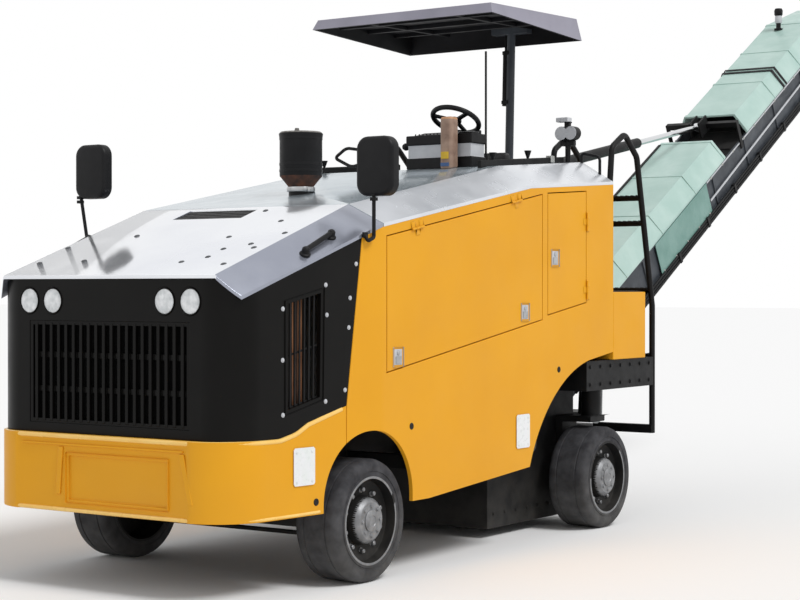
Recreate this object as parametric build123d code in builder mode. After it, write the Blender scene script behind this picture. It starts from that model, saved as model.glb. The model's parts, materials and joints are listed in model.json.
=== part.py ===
from build123d import *
import os
from math import atan2, cos, degrees, radians, sin

# Cold planer on four solid-tyred wheels: engine under a sloping hood at the front,
# milling drum ahead of the rear wheels, driver's station under a roof and a
# rear conveyor that slews and luffs.
# Millimetres. +X is the machine's left, +Y its rear, +Z up, ground at z = 0.

# Origin: the middle of the overall length. Lengths along the machine are
# given as distances behind the front axle and placed by back().
FRONT_AXLE_Y = -4012.0


def back(distance):
    """Y of a point this far behind the front axle."""
    return FRONT_AXLE_Y + distance


# Fits and gaps
SEAT = 0.3                 # gap between pieces that rest on each other
PIN_CLEAR = 0.05           # radial clearance of a running pin
DOOR_GAP = 6.0             # gap round a door or lid
SEAM = 3.0                 # gap between two fixed panels
PIVOT_GAP = 4.0            # side gap between parts that swing past each other

# Body shell, in plan
BODY_HALF = 970.0          # half width from the bend back
WIDE = BODY_HALF + 30.0    # reach of cuts that pass the body's side
AHEAD = -1100.0            # reach of cuts that pass the body's front
BEND_BACK = 75.0           # where the sides start to taper
TAPER = 0.123              # side step per length ahead of the bend
FACE_BACK = -1020.0        # front face of the nose
NOSE_R = 220.0             # rounding of the nose's corners
REAR_BACK = 2718.0         # rear face of the body
SKIN = 25.0                # thickness of a panel or door
TOP_SKIN = 20.0            # thickness of the hood and deck sheets
HOOD_BACK = -1036.0        # front lip of the hood
HOOD_LIP = 16.0            # how far the top sheets stand out past the body
CORNER_BACK = (-935.0, -1020.0)  # where the hood's cut corner starts and ends
LID_BACK = 78.0            # rear edge of the hood lid

# Body shell, from the side: side edge and flat top at each station
TOP_HALF = BODY_HALF - 230.0     # half width of the flat top
TOP_STATIONS = (
    # back, side edge z, flat top z
    (HOOD_BACK, 1503.0, 1638.0),
    (BEND_BACK, 1917.0, 2026.0),
    (1651.0, 2195.0, 2322.0),
    (REAR_BACK, 2268.0, 2405.0),
)
SHELL_LOW = 380.0
SHELL_HIGH = 2450.0
CUT_LOW = 1000.0           # heights that cuts through the top sheets reach
CUT_HIGH = 3000.0

# Panels, doors and openings, from the side (back, z)
LEAD_EDGE = ((-205.0, 955.0), (-70.0, 1960.0))
SILL = ((-205.0, 402.0), (527.0, 402.0), (1635.0, 485.0))
REAR_ARCH = ((1905.0, 870.0), (2397.0, 1109.0))
PANEL_FOOT = 1151.0
FRONT_DOOR = ((110.0, 1113.0), (1790.0, 1374.0), (1790.0, 2149.0), (110.0, 1853.0))
REAR_DOOR = ((1850.0, 1400.0), (2350.0, 1475.0), (2350.0, 2192.0), (1850.0, 2158.0))
REAR_HINGE_Z = (1558.0, 1993.0)
WINDOW = ((-638.0, 953.0), (-407.0, 1010.0), (-398.0, 1545.0), (-638.0, 1490.0))
GRILLE_HALF = 560.0
GRILLE_Z = (860.0, 1400.0)
SLAT_COUNT = 20
SLAT_W = 20.0
SLAT_DEPTH = 18.0
LAMP_X = (392.0, 563.0)
LAMP_Z = 1504.0
LAMP_R = 72.0
LAMP_BACK = -900.0         # how far back the openings of lamps and grille are cut
LAMP_DEPTH = 50.0
LAMP_PROUD = 5.0
CROSS_BARS = (1040.0, 1220.0)    # heights of the grille's cross bars
CROSS_BAR = 30.0

# Bumper
BUMPER_FRONT = -1079.0
BUMPER_HALF = BODY_HALF - 123.0  # half width at the front, before rounding
BUMPER_R = 300.0
BUMPER_LOW = 405.0
BUMPER_WALL = 25.0
BUMPER_ROOM = 1100.0       # height that its cuts reach
LEDGE = 14.0               # thickness of the ledge under the nose
RECESS_X = (-228.0, 450.0)       # shallow pocket in its face
RECESS_Z = (470.0, 700.0)
RECESS_DEPTH = 6.0
BUMPER_TOP = ((-700.0, 809.0), (-581.0, 835.7), (-494.0, 879.7), (-208.0, 954.7))

# Wheels and steering
TYRE_R = 330.0
TYRE_W = 270.0
RIM_R = 238.0
HUB_R = 122.0
WHEEL_X = BODY_HALF - 158.0      # middle of the tyre
WHEELBASE = 2684.0
SPINDLE_R = 40.0
SPINDLE_END = 905.0
KINGPIN_X = 630.0
KINGPIN_R = 25.0
TRACK_ARM = 150.0          # steering arm behind the kingpin
ARCH_R = 372.0
ARCH_Z = 440.0
ARCH_BACK = -10.0

# Frame
RAIL_X = (360.0, 440.0)
RAIL_Z = (520.0, 740.0)
TAIL_RAIL_Z = (1110.0, 1290.0)
RAIL_RISE = 1750.0         # where the rails stand up over the drum
FRAME_END = 3050.0
FRONT_BEAM_HALF = 520.0
RADIATOR_SHELF = 770.0
RADIATOR_HALF = 830.0
RADIATOR_BACK = (-650.0, -430.0)
RADIATOR_TOP = 1530.0
ENGINE_HALF = 310.0
ENGINE_BACK = (-330.0, 850.0)
ENGINE_TOP = 1600.0
CROSS_BACKS = (2790.0, FRAME_END - 50.0)    # cross members between the raised rails
CROSS_HALF = 50.0          # half their length along the machine
OUTRIGGERS = (505.0, 1000.0, 1500.0)

# Tail frame
BEAM_X = (720.0, 944.7)
BEAM_Z = (905.0, 1100.0)
BEAM_BACK = (2400.0, 3354.7)
ARM_X = (400.0, 460.0)
ARM_Z = (540.0, 600.0)
ARM_END = 3640.0
RING_R = 200.0
RING_TOP = 650.0
BOX_X = (600.3, 970.0)
BOX_END = 3185.0
BOX_TOP = 1545.0

# Milling drum
DRUM_BACK = 2330.0
DRUM_Z = 560.0
DRUM_HALF = 500.0
DRUM_CUT_R = 490.0         # out to the picks' tips
DRUM_R = 380.0             # bare drum
SHAFT_R = 60.0
HOUSING_HALF = 555.0       # along the machine
HOUSING_X = (560.0, 580.0)
HOUSING_FOOT = 60.0
HOUSING_WALL = 15.0
DISCHARGE = ((-300.0, 300.0), (600.0, 940.0))
PICKS_PER_ROW = 12
PICK_ROWS = 4

# Driver's station
WELL_X = 620.0
WELL_BACK = (1960.0, 2640.0)
WELL_FLOOR = 2000.0
TRAY_WALL = 15.0
ROOF_X = 666.0
ROOF_BACK = (1673.0, 2769.0)
ROOF_TOP = (3334.0, 3366.0)
ROOF_FOOT = (3270.0, 3221.0)
ROOF_WALL = 20.0
ROOF_FLARE = 26.0          # how far the rim's foot stands out
MAST_X = 200.0
EXHAUST_BACK = 620.0
EXHAUST_R = 72.0           # pipe below the can
EXHAUST_CAN_R = 126.0
EXHAUST_Z = (2205.0, 2482.0)

# Conveyor: s runs up the belt from the luffing axis, h is square to it from
# the underside
SLEW_BACK = 3550.0
LUFF_Z = 1010.0
INCLINE = 29.5             # degrees at rest
PIVOT_H = 107.0
CONV_HALF = 310.0
CONV_DEPTH = 335.0
CONV_FOOT = -330.0
CONV_HEAD = 6360.0
TAPER_LENGTH = 900.0       # head end that gets shallower
HEAD_H = (70.0, 270.0)
CONV_WALL = 20.0
FLANGE = 12.0              # lip of the side frames' edges
STIFFENERS = 8
PULLEY_R = 95.0
PULLEY_H = 175.0
BELT_T = 12.0
BELT_HALF = 250.0
CLEATS = 18
CLEAT = (14.0, 10.0)       # thickness along the belt and height
ROLLER_R = 22.0
COVER_RISE = 170.0
COVER_HEAD_RISE = 60.0
COVER_TOP_HALF = 225.0
COVER_ENDS = (250.0, 6200.0)
COVER_BREAK = (2900.0, 3400.0)   # open length under the luffing cylinder
COVER_T = 12.0
COVER_LIP = 20.0           # upright foot of the cover's sides

# Slewing console, its mast and the luffing cylinder
CHEEK_X = (330.0, 360.0)
LUFF_PIN_R = 35.0
MAST_PIN_Z = 2450.0
MAST_PIN_R = 25.0
EYE_S = 3150.0
EYE_H = 520.0
EYE_R = 38.0
EYE_HALF = 22.0
BARREL_R = 40.0
BARREL_START = 100.0
BARREL_LENGTH = 1450.0
ROD_R = 23.0
ROD_LENGTH = 1750.0


# Makers of common shapes; each adds to, cuts or trims the part being built
def block(x_range, back_range, z_range, mode=Mode.ADD):
    """A box between two x, two distances behind the front axle and two heights."""
    size = [high - low for low, high in (x_range, back_range, z_range)]
    middle = (sum(x_range) / 2, back(sum(back_range) / 2), sum(z_range) / 2)
    with Locations(middle):
        Box(*size, mode=mode)


def prism_x(points, x_low, x_high, shrink=0.0, mode=Mode.ADD):
    """A solid of a side-view outline, given as (back, z), between two x."""
    with BuildSketch(Plane.YZ.offset(x_low)) as profile:
        with BuildLine():
            Polyline(*[(back(b), z) for b, z in points], close=True)
        make_face()
        if shrink:
            offset(amount=-shrink, kind=Kind.INTERSECTION, mode=Mode.REPLACE)
    extrude(profile.sketch, amount=x_high - x_low, mode=mode)


def rod_x(radius, x_low, x_high, b, z, mode=Mode.ADD):
    """A round bar along x."""
    with BuildSketch(Plane.YZ.offset(x_low)) as profile:
        with Locations((back(b), z)):
            Circle(radius)
    extrude(profile.sketch, amount=x_high - x_low, mode=mode)


def rod_z(radius, x, b, z_low, z_high, mode=Mode.ADD):
    """An upright round bar."""
    with BuildSketch(Plane.XY.offset(z_low)) as profile:
        with Locations((x, back(b))):
            Circle(radius)
    extrude(profile.sketch, amount=z_high - z_low, mode=mode)


def tube(points, radius, corner=0.0):
    """A round tube through (x, back, z) points, bent where it turns."""
    path_points = [(x, back(b), z) for x, b, z in points]
    with BuildLine() as path:
        if corner:
            FilletPolyline(*path_points, radius=corner)
        else:
            Polyline(*path_points)
    with BuildSketch(Plane(origin=path.line @ 0, z_dir=path.line % 0)) as profile:
        Circle(radius)
    sweep(profile.sketch, path=path.line)


def save(builder, name):
    builder.part.label = name
    export_step(builder.part, f"parts/{name}.step")


def save_pair(builder, name):
    """Save a left-hand piece and its mirror image."""
    save(builder, f"{name}_left")
    with BuildPart() as other_hand:
        mirror(builder.part, about=Plane.YZ)
    save(other_hand, f"{name}_right")


os.makedirs("parts", exist_ok=True)


# Body shell: ring of upright panels, and the body under its sloping top
def side_x(b):
    """Half width of the body at a distance behind the front axle."""
    return BODY_HALF - max(0.0, BEND_BACK - b) * TAPER


def body_plan():
    """The body's plan outline, in the sketch being drawn."""
    with BuildLine() as outline:
        Polyline(
            (side_x(FACE_BACK), back(FACE_BACK)), (BODY_HALF, back(BEND_BACK)),
            (BODY_HALF, back(REAR_BACK)), (-BODY_HALF, back(REAR_BACK)),
            (-BODY_HALF, back(BEND_BACK)), (-side_x(FACE_BACK), back(FACE_BACK)),
            close=True,
        )
    sheet = make_face(outline.edges())
    fillet(sheet.vertices().group_by(Axis.Y)[0], radius=NOSE_R)


with BuildPart() as shell_ring:
    with BuildSketch(Plane.XY.offset(SHELL_LOW)):
        body_plan()
        offset(amount=-SKIN, kind=Kind.INTERSECTION, mode=Mode.SUBTRACT)
    extrude(amount=SHELL_HIGH - SHELL_LOW)


def under_top(drop, mode=Mode.ADD):
    """The room under the sloping top, lowered by drop, in straight lengths."""
    for ahead, behind in zip(TOP_STATIONS, TOP_STATIONS[1:]):
        sections = []
        for b, edge_z, flat_z in (ahead, behind):
            half = side_x(b)
            with BuildSketch(Plane(origin=(0, back(b), 0), x_dir=(1, 0, 0), z_dir=(0, -1, 0))) as section:
                with BuildLine():
                    Polyline(
                        (-half, 0), (half, 0), (half, edge_z - drop), (TOP_HALF, flat_z - drop),
                        (-TOP_HALF, flat_z - drop), (-half, edge_z - drop), close=True,
                    )
                make_face()
            sections.append(section.sketch)
        loft(sections, ruled=True, mode=mode)


with BuildPart() as panel_room:
    under_top(TOP_SKIN + SEAT)


def arch_cut(mode=Mode.SUBTRACT):
    """The room of both front wheel arches."""
    rod_x(ARCH_R, -WIDE, WIDE, ARCH_BACK, ARCH_Z, mode=mode)
    block((-WIDE, WIDE), (ARCH_BACK - ARCH_R, ARCH_BACK + ARCH_R), (0, ARCH_Z), mode=mode)


# Door hinges: a barrel on the door between two on the panel, on a pin
HINGE_X = BODY_HALF + 8.0
HINGE_R = 7.0
HINGE_PIN_R = 4.0
HINGE_LENGTH = 40.0
LEAF = 4.0
LEAF_DEPTH = 40.0
door_rise = degrees(atan2(FRONT_DOOR[2][1] - FRONT_DOOR[3][1], FRONT_DOOR[2][0] - FRONT_DOOR[3][0]))
front_hinge_line = Plane(
    origin=(HINGE_X, back(FRONT_DOOR[3][0]), FRONT_DOOR[3][1] - DOOR_GAP / 2),
    x_dir=(0, cos(radians(door_rise)), sin(radians(door_rise))), z_dir=(1, 0, 0),
)
rear_hinge_line = Plane(
    origin=(HINGE_X, back(REAR_DOOR[1][0] - DOOR_GAP / 2), 0), x_dir=(0, 0, 1), z_dir=(1, 0, 0),
)
FRONT_HINGES = (300.0, 1380.0)


def barrel(line, start, length, radius, mode=Mode.ADD):
    """A length of hinge barrel along a hinge line."""
    with BuildSketch(Plane(origin=line.from_local_coords((start, 0, 0)), z_dir=line.x_dir)) as profile:
        Circle(radius)
    extrude(profile.sketch, amount=length, mode=mode)


def leaf(line, start, length, side):
    """A hinge leaf on the panel's face, above or below the hinge line."""
    depth = BODY_HALF - HINGE_X
    with BuildSketch(line.offset(depth)) as profile:
        with Locations((start + length / 2, side * LEAF_DEPTH / 2)):
            Rectangle(length, LEAF_DEPTH)
    extrude(profile.sketch, amount=LEAF)


def panel_hinge(line, middle, side):
    """The panel's two barrels with the pin between them."""
    third = HINGE_LENGTH
    for start in (middle - 1.5 * third, middle + 0.5 * third + SEAT):
        barrel(line, start, third - SEAT, HINGE_R)
        leaf(line, start, third - SEAT, side)
    barrel(line, middle - third, 2 * third, HINGE_PIN_R)


def door_hinge(line, middle, side):
    """The door's barrel, bored for the pin."""
    third = HINGE_LENGTH
    leaf(line, middle - third / 2, third, side)
    barrel(line, middle - third / 2, third, HINGE_R)
    barrel(line, middle - third, 2 * third, HINGE_PIN_R + PIN_CLEAR, mode=Mode.SUBTRACT)


# Side panels, with the wheel arches and door openings cut
with BuildPart() as side_panel:
    with BuildSketch(Plane.YZ.offset(BODY_HALF / 2)):
        with BuildLine():
            Polyline(
                (back(SILL[2][0]), SILL[2][1]), (back(SILL[1][0]), SILL[1][1]),
                (back(SILL[0][0]), SILL[0][1]), (back(LEAD_EDGE[0][0]), LEAD_EDGE[0][1]),
                (back(LEAD_EDGE[1][0]), LEAD_EDGE[1][1]), (back(LEAD_EDGE[1][0]), SHELL_HIGH),
                (back(REAR_BACK), SHELL_HIGH), (back(REAR_BACK), PANEL_FOOT),
                (back(REAR_ARCH[1][0]), REAR_ARCH[1][1]),
            )
            ThreePointArc(
                (back(REAR_ARCH[1][0]), REAR_ARCH[1][1]), (back(REAR_ARCH[0][0]), REAR_ARCH[0][1]),
                (back(SILL[2][0]), SILL[2][1]),
            )
        make_face()
    extrude(amount=BODY_HALF)
    add(shell_ring.part, mode=Mode.INTERSECT)
    add(panel_room.part, mode=Mode.INTERSECT)
    block((0, BODY_HALF - SKIN), (REAR_BACK - SKIN, REAR_BACK), (0, SHELL_HIGH), mode=Mode.SUBTRACT)
    arch_cut()
    prism_x(FRONT_DOOR, 0, WIDE, mode=Mode.SUBTRACT)
    prism_x(REAR_DOOR, 0, WIDE, mode=Mode.SUBTRACT)
    for place in FRONT_HINGES:
        panel_hinge(front_hinge_line, place, 1)
    for place in REAR_HINGE_Z:
        panel_hinge(rear_hinge_line, place, -1)
save_pair(side_panel, "side_panel")

with BuildPart() as front_door:
    prism_x(FRONT_DOOR, BODY_HALF - SKIN, BODY_HALF, shrink=DOOR_GAP)
    for place in FRONT_HINGES:
        door_hinge(front_hinge_line, place, -1)
save_pair(front_door, "door_front")
with BuildPart() as rear_door:
    prism_x(REAR_DOOR, BODY_HALF - SKIN, BODY_HALF, shrink=DOOR_GAP)
    for place in REAR_HINGE_Z:
        door_hinge(rear_hinge_line, place, 1)
save_pair(rear_door, "door_rear")

inner_half = BODY_HALF - SKIN - SEAT
with BuildPart() as rear_wall:
    block((-inner_half, inner_half), (REAR_BACK - SKIN, REAR_BACK), (TAIL_RAIL_Z[1] + SEAT, SHELL_HIGH))
    add(panel_room.part, mode=Mode.INTERSECT)
save(rear_wall, "rear_wall")

# Nose: black front and sides, open for the grille, lamps and radiator screens
with BuildPart() as nose_shell:
    foot = [(b, z + SEAT) for b, z in BUMPER_TOP]
    lead = [(LEAD_EDGE[0][0] - SEAM, foot[-1][1]), (LEAD_EDGE[1][0] - SEAM, LEAD_EDGE[1][1])]
    outline = [(AHEAD, foot[0][1])] + foot[:-1] + lead + [(LEAD_EDGE[1][0] - SEAM, SHELL_HIGH), (AHEAD, SHELL_HIGH)]
    prism_x(outline, -WIDE, WIDE)
    add(shell_ring.part, mode=Mode.INTERSECT)
    add(panel_room.part, mode=Mode.INTERSECT)
    block((-GRILLE_HALF, GRILLE_HALF), (AHEAD, LAMP_BACK), GRILLE_Z, mode=Mode.SUBTRACT)
    prism_x(WINDOW, -WIDE, WIDE, mode=Mode.SUBTRACT)
    with BuildSketch(Plane.XZ.offset(-back(AHEAD))):
        with Locations(*[(side * x, LAMP_Z) for x in LAMP_X for side in (-1, 1)]):
            Circle(LAMP_R + SEAT)
    extrude(amount=AHEAD - LAMP_BACK, mode=Mode.SUBTRACT)
save(nose_shell, "nose_shell")

# Grille: a frame with upright slats and two cross bars behind them
GRILLE_RIM = 22.0
with BuildPart() as front_grille:
    half = GRILLE_HALF - SEAT
    z_low = GRILLE_Z[0] + SEAT
    z_high = GRILLE_Z[1] - SEAT
    block((-half, half), (FACE_BACK + 3, FACE_BACK + SKIN), (z_low, z_high))
    block((-half + GRILLE_RIM, half - GRILLE_RIM), (FACE_BACK, FACE_BACK + SKIN),
          (z_low + GRILLE_RIM, z_high - GRILLE_RIM), mode=Mode.SUBTRACT)
    pitch = 2 * (half - GRILLE_RIM) / SLAT_COUNT
    for i in range(SLAT_COUNT):
        x = -half + GRILLE_RIM + pitch * (i + 0.5)
        block((x - SLAT_W / 2, x + SLAT_W / 2), (FACE_BACK, FACE_BACK + SLAT_DEPTH),
              (z_low + GRILLE_RIM / 2, z_high - GRILLE_RIM / 2))
    for z in CROSS_BARS:
        block((-half + GRILLE_RIM / 2, half - GRILLE_RIM / 2), (FACE_BACK + 14, FACE_BACK + SKIN),
              (z - CROSS_BAR / 2, z + CROSS_BAR / 2))
save(front_grille, "front_grille")

with BuildPart() as headlamps:
    with BuildSketch(Plane.XZ.offset(-back(FACE_BACK - LAMP_PROUD))):
        with Locations(*[(side * x, LAMP_Z) for x in LAMP_X for side in (-1, 1)]):
            Circle(LAMP_R)
    extrude(amount=-LAMP_DEPTH)
save(headlamps, "headlamps")


# Bumper: a wraparound apron with a ledge under the nose
def bumper_plan(shrink, z_low, z_high, mode=Mode.ADD):
    """The bumper's plan outline, made smaller by shrink, between two heights."""
    end = BUMPER_TOP[-1][0]
    slope = (side_x(end) - BUMPER_HALF) / (end - BUMPER_FRONT)
    rear_half = BUMPER_HALF - BUMPER_FRONT * slope
    with BuildSketch(Plane.XY.offset(z_low)) as profile:
        with BuildLine():
            Polyline(
                (-rear_half, back(0)), (-BUMPER_HALF, back(BUMPER_FRONT)),
                (BUMPER_HALF, back(BUMPER_FRONT)), (rear_half, back(0)), close=True,
            )
        sheet = make_face()
        fillet(sheet.vertices().group_by(Axis.Y)[0], radius=BUMPER_R)
        if shrink:
            offset(amount=-shrink, kind=Kind.INTERSECTION, mode=Mode.REPLACE)
    extrude(profile.sketch, amount=z_high - z_low, mode=mode)


with BuildPart() as ledge_hole:
    bumper_plan(BUMPER_WALL, BUMPER_LOW, BUMPER_ROOM)
    with BuildSketch(Plane.XY.offset(BUMPER_LOW)):
        body_plan()
        offset(amount=-SKIN, kind=Kind.INTERSECTION, mode=Mode.REPLACE)
    extrude(amount=BUMPER_ROOM - BUMPER_LOW, mode=Mode.INTERSECT)

with BuildPart() as front_bumper:
    bumper_plan(0, BUMPER_LOW, BUMPER_ROOM)
    bumper_plan(BUMPER_WALL, 0, BUMPER_TOP[0][1] - LEDGE, mode=Mode.SUBTRACT)
    add(ledge_hole.part, mode=Mode.SUBTRACT)
    block((-WIDE, WIDE), (BUMPER_TOP[-1][0] - 1, BEND_BACK), (0, BUMPER_ROOM), mode=Mode.SUBTRACT)
    over = [(AHEAD, BUMPER_TOP[0][1])] + list(BUMPER_TOP) + [(BUMPER_TOP[-1][0], BUMPER_ROOM), (AHEAD, BUMPER_ROOM)]
    prism_x(over, -WIDE, WIDE, mode=Mode.SUBTRACT)
    arch_cut()
    block(RECESS_X, (AHEAD, BUMPER_FRONT + RECESS_DEPTH), RECESS_Z, mode=Mode.SUBTRACT)
save(front_bumper, "front_bumper")

# Frame: two rails that rise over the drum, floor, cross members and outriggers
rail = [
    (BUMPER_FRONT + BUMPER_WALL + SEAT, RAIL_Z[0]), (RAIL_RISE - 130, RAIL_Z[0]), (RAIL_RISE, 650.0),
    (RAIL_RISE, TAIL_RAIL_Z[0]), (FRAME_END, TAIL_RAIL_Z[0]), (FRAME_END, TAIL_RAIL_Z[1]),
    (RAIL_RISE - 110, TAIL_RAIL_Z[1]), (RAIL_RISE - 190, 1210.0), (RAIL_RISE - 190, RAIL_Z[1]),
    (BUMPER_FRONT + BUMPER_WALL + SEAT, RAIL_Z[1]),
]
with BuildPart() as main_frame:
    prism_x(rail, *RAIL_X)
    mirror(about=Plane.YZ)
    block((-RAIL_X[0], RAIL_X[0]), (-1000, RAIL_RISE - 190), (RAIL_Z[1] - 40, RAIL_Z[1]))
    block((-FRONT_BEAM_HALF, FRONT_BEAM_HALF), (BUMPER_FRONT + BUMPER_WALL + SEAT, -960), RAIL_Z)
    block((-RAIL_X[0], RAIL_X[0]), (-150, 150), (RAIL_Z[0], RAIL_Z[0] + 40))
    block((-RADIATOR_HALF, RADIATOR_HALF), (RADIATOR_BACK[0] - 40, RADIATOR_BACK[1] + 10),
          (RAIL_Z[1] - 10, RADIATOR_SHELF))
    for b in OUTRIGGERS:
        block((-inner_half, inner_half), (b - 30, b + 30), (560, 640))
    for b in CROSS_BACKS:
        block((-RAIL_X[1] - 100, RAIL_X[1] + 100), (b - CROSS_HALF, b + CROSS_HALF), TAIL_RAIL_Z)
    block((-inner_half, inner_half), (1860, 1940), (TAIL_RAIL_Z[0] + 20, TAIL_RAIL_Z[1]))
save(main_frame, "main_frame")

# Tail frame: cross beam, side beams and the arms that carry the slewing ring
with BuildPart() as tail_frame:
    block(BEAM_X, BEAM_BACK, BEAM_Z)
    block(ARM_X, (2930, 3040), (ARM_Z[0], 1000))
    block(ARM_X, (2930, ARM_END), ARM_Z)
    block((470, BEAM_X[0]), (3290, BEAM_BACK[1]), (BEAM_Z[0], 1000))
    mirror(about=Plane.YZ)
    block((-BEAM_X[1], BEAM_X[1]), (2930, 3040), (960, BEAM_Z[1]))
    block((-BOX_X[0] + 10, BOX_X[0] - 10), (2930, 3040), (960, TAIL_RAIL_Z[0] - SEAT))
    block((-ARM_X[1], ARM_X[1]), (3400, ARM_END), (ARM_Z[1] - 40, ARM_Z[1]))
    rod_z(RING_R, 0, SLEW_BACK, ARM_Z[0], RING_TOP)
save(tail_frame, "tail_frame")

# Rear boxes, whose tops are steps
with BuildPart() as rear_boxes:
    block(BOX_X, (REAR_BACK + SEAT, BOX_END), (BEAM_Z[1] + SEAT, BOX_TOP))
    mirror(about=Plane.YZ)
save(rear_boxes, "rear_boxes")

# Engine and radiator
with BuildPart() as engine_block:
    block((-ENGINE_HALF, ENGINE_HALF), ENGINE_BACK, (RAIL_Z[1] + SEAT, ENGINE_TOP))
save(engine_block, "engine_block")
with BuildPart() as radiator:
    block((-RADIATOR_HALF, RADIATOR_HALF), RADIATOR_BACK, (RADIATOR_SHELF + SEAT, RADIATOR_TOP))
save(radiator, "radiator")

# Top: hood lid and rear deck, sheets that follow the sloping top
with BuildPart() as top_sheet:
    under_top(0)
    under_top(TOP_SKIN, mode=Mode.SUBTRACT)
    with BuildSketch(Plane.XY.offset(CUT_LOW)):
        with BuildLine():
            corner = [(side_x(CORNER_BACK[0]), back(CORNER_BACK[0])), (TOP_HALF, back(CORNER_BACK[1]))]
            Polyline(
                (BODY_HALF, back(REAR_BACK)), (BODY_HALF, back(BEND_BACK)), *corner,
                *[(-x, y) for x, y in reversed(corner)], (-BODY_HALF, back(BEND_BACK)),
                (-BODY_HALF, back(REAR_BACK)), close=True,
            )
        make_face()
        offset(amount=HOOD_LIP, kind=Kind.INTERSECTION, mode=Mode.REPLACE)
    extrude(amount=SHELL_HIGH, mode=Mode.INTERSECT)

# Mirrors: bent arms from feet on the lid's edge, each set as the driver left it
MIRROR_FOOT = (-95.0, -55.0)
MIRROR_FOOT_Z = (1836.0, 1866.0)
MIRROR_HEAD = (220.0, 70.0, 318.0)     # width, depth and height
MIRROR_ROUND = 55.0
MIRROR_ARMS = (
    # side, arm back, lower x, upper x, head x, head middle z
    (1, -20.0, 978.0, 978.0, 998.0, 2218.0),
    (-1, -110.0, 1022.0, 1079.0, 998.0, 2254.0),
)
foot_x = side_x(MIRROR_FOOT[1]) + SEAT
foot_back = sum(MIRROR_FOOT) / 2
foot_z = sum(MIRROR_FOOT_Z) / 2
with BuildPart() as mirrors:
    for side, arm_back, low_x, high_x, head_x, head_z in MIRROR_ARMS:
        block(sorted((side * foot_x, side * (foot_x + 12))), MIRROR_FOOT, MIRROR_FOOT_Z)
        tube([
            (side * (foot_x + 10), foot_back, foot_z), (side * low_x, foot_back, foot_z - 32),
            (side * low_x, arm_back, foot_z - 12), (side * high_x, arm_back, head_z - MIRROR_HEAD[2] / 2 + 40),
        ], 11, 12)
        with BuildSketch(Plane.XZ.offset(-back(arm_back - 20))) as head:
            with Locations((side * head_x, head_z)):
                RectangleRounded(MIRROR_HEAD[0], MIRROR_HEAD[2], MIRROR_ROUND)
        extrude(head.sketch, amount=-MIRROR_HEAD[1])
save(mirrors, "mirrors")

# Air outlet in the hood: a louvred frame in a cut opening
VENT_X = (-350.0, 150.0)
VENT_BACK = (-118.0, 40.0)
VENT_RIM = 16.0
VENT_DROP = 6.0            # how far it lies below the hood's face
VENT_DEPTH = 24.0
LOUVRES = 5
with BuildPart() as hood_lid:
    add(top_sheet.part)
    block((-WIDE, WIDE), (LID_BACK, CUT_HIGH), (CUT_LOW, CUT_HIGH), mode=Mode.SUBTRACT)
    block(VENT_X, VENT_BACK, (CUT_LOW, CUT_HIGH), mode=Mode.SUBTRACT)
save(hood_lid, "hood_lid")
with BuildPart() as vent_room:
    under_top(VENT_DROP)
    under_top(VENT_DROP + VENT_DEPTH, mode=Mode.SUBTRACT)
with BuildPart() as hood_vent:
    block((VENT_X[0] + SEAT, VENT_X[1] - SEAT), (VENT_BACK[0] + SEAT, VENT_BACK[1] - SEAT), (CUT_LOW, CUT_HIGH))
    add(vent_room.part, mode=Mode.INTERSECT)
    slot_length = (VENT_BACK[1] - VENT_BACK[0] - VENT_RIM) / LOUVRES
    for i in range(LOUVRES):
        start = VENT_BACK[0] + VENT_RIM + i * slot_length
        block((VENT_X[0] + VENT_RIM, VENT_X[1] - VENT_RIM), (start, start + slot_length - VENT_RIM),
              (CUT_LOW, CUT_HIGH), mode=Mode.SUBTRACT)
save(hood_vent, "hood_vent")
with BuildPart() as top_deck:
    add(top_sheet.part)
    block((-WIDE, WIDE), (AHEAD, LID_BACK + DOOR_GAP), (CUT_LOW, CUT_HIGH), mode=Mode.SUBTRACT)
    block((-WELL_X, WELL_X), WELL_BACK, (CUT_LOW, CUT_HIGH), mode=Mode.SUBTRACT)
    rod_z(EXHAUST_R + SEAT, 0, EXHAUST_BACK, CUT_LOW, CUT_HIGH, mode=Mode.SUBTRACT)
save(top_deck, "top_deck")

with BuildPart() as platform_floor:
    block((-WELL_X - TRAY_WALL, WELL_X + TRAY_WALL), (WELL_BACK[0] - TRAY_WALL, WELL_BACK[1] + TRAY_WALL),
          (WELL_FLOOR - TRAY_WALL, SHELL_HIGH))
    add(panel_room.part, mode=Mode.INTERSECT)
    block((-WELL_X, WELL_X), WELL_BACK, (WELL_FLOOR, CUT_HIGH), mode=Mode.SUBTRACT)
save(platform_floor, "platform_floor")

with BuildPart() as exhaust_stack:
    with BuildSketch(Plane.XZ.offset(-back(EXHAUST_BACK))):
        with BuildLine():
            Polyline(
                (0, ENGINE_TOP + SEAT), (EXHAUST_R, ENGINE_TOP + SEAT), (EXHAUST_R, EXHAUST_Z[0] - 40),
                (EXHAUST_CAN_R - 22, EXHAUST_Z[0]), (EXHAUST_CAN_R, EXHAUST_Z[0] + 26),
                (EXHAUST_CAN_R, EXHAUST_Z[1] - 40), (EXHAUST_CAN_R + 5, EXHAUST_Z[1]),
                (EXHAUST_CAN_R - 6, EXHAUST_Z[1]), (EXHAUST_CAN_R - 10, EXHAUST_Z[1] - 60),
                (0, EXHAUST_Z[1] - 60), close=True,
            )
        make_face()
    revolve(axis=Axis((0, back(EXHAUST_BACK), 0), (0, 0, 1)))
save(exhaust_stack, "exhaust_stack")

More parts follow.
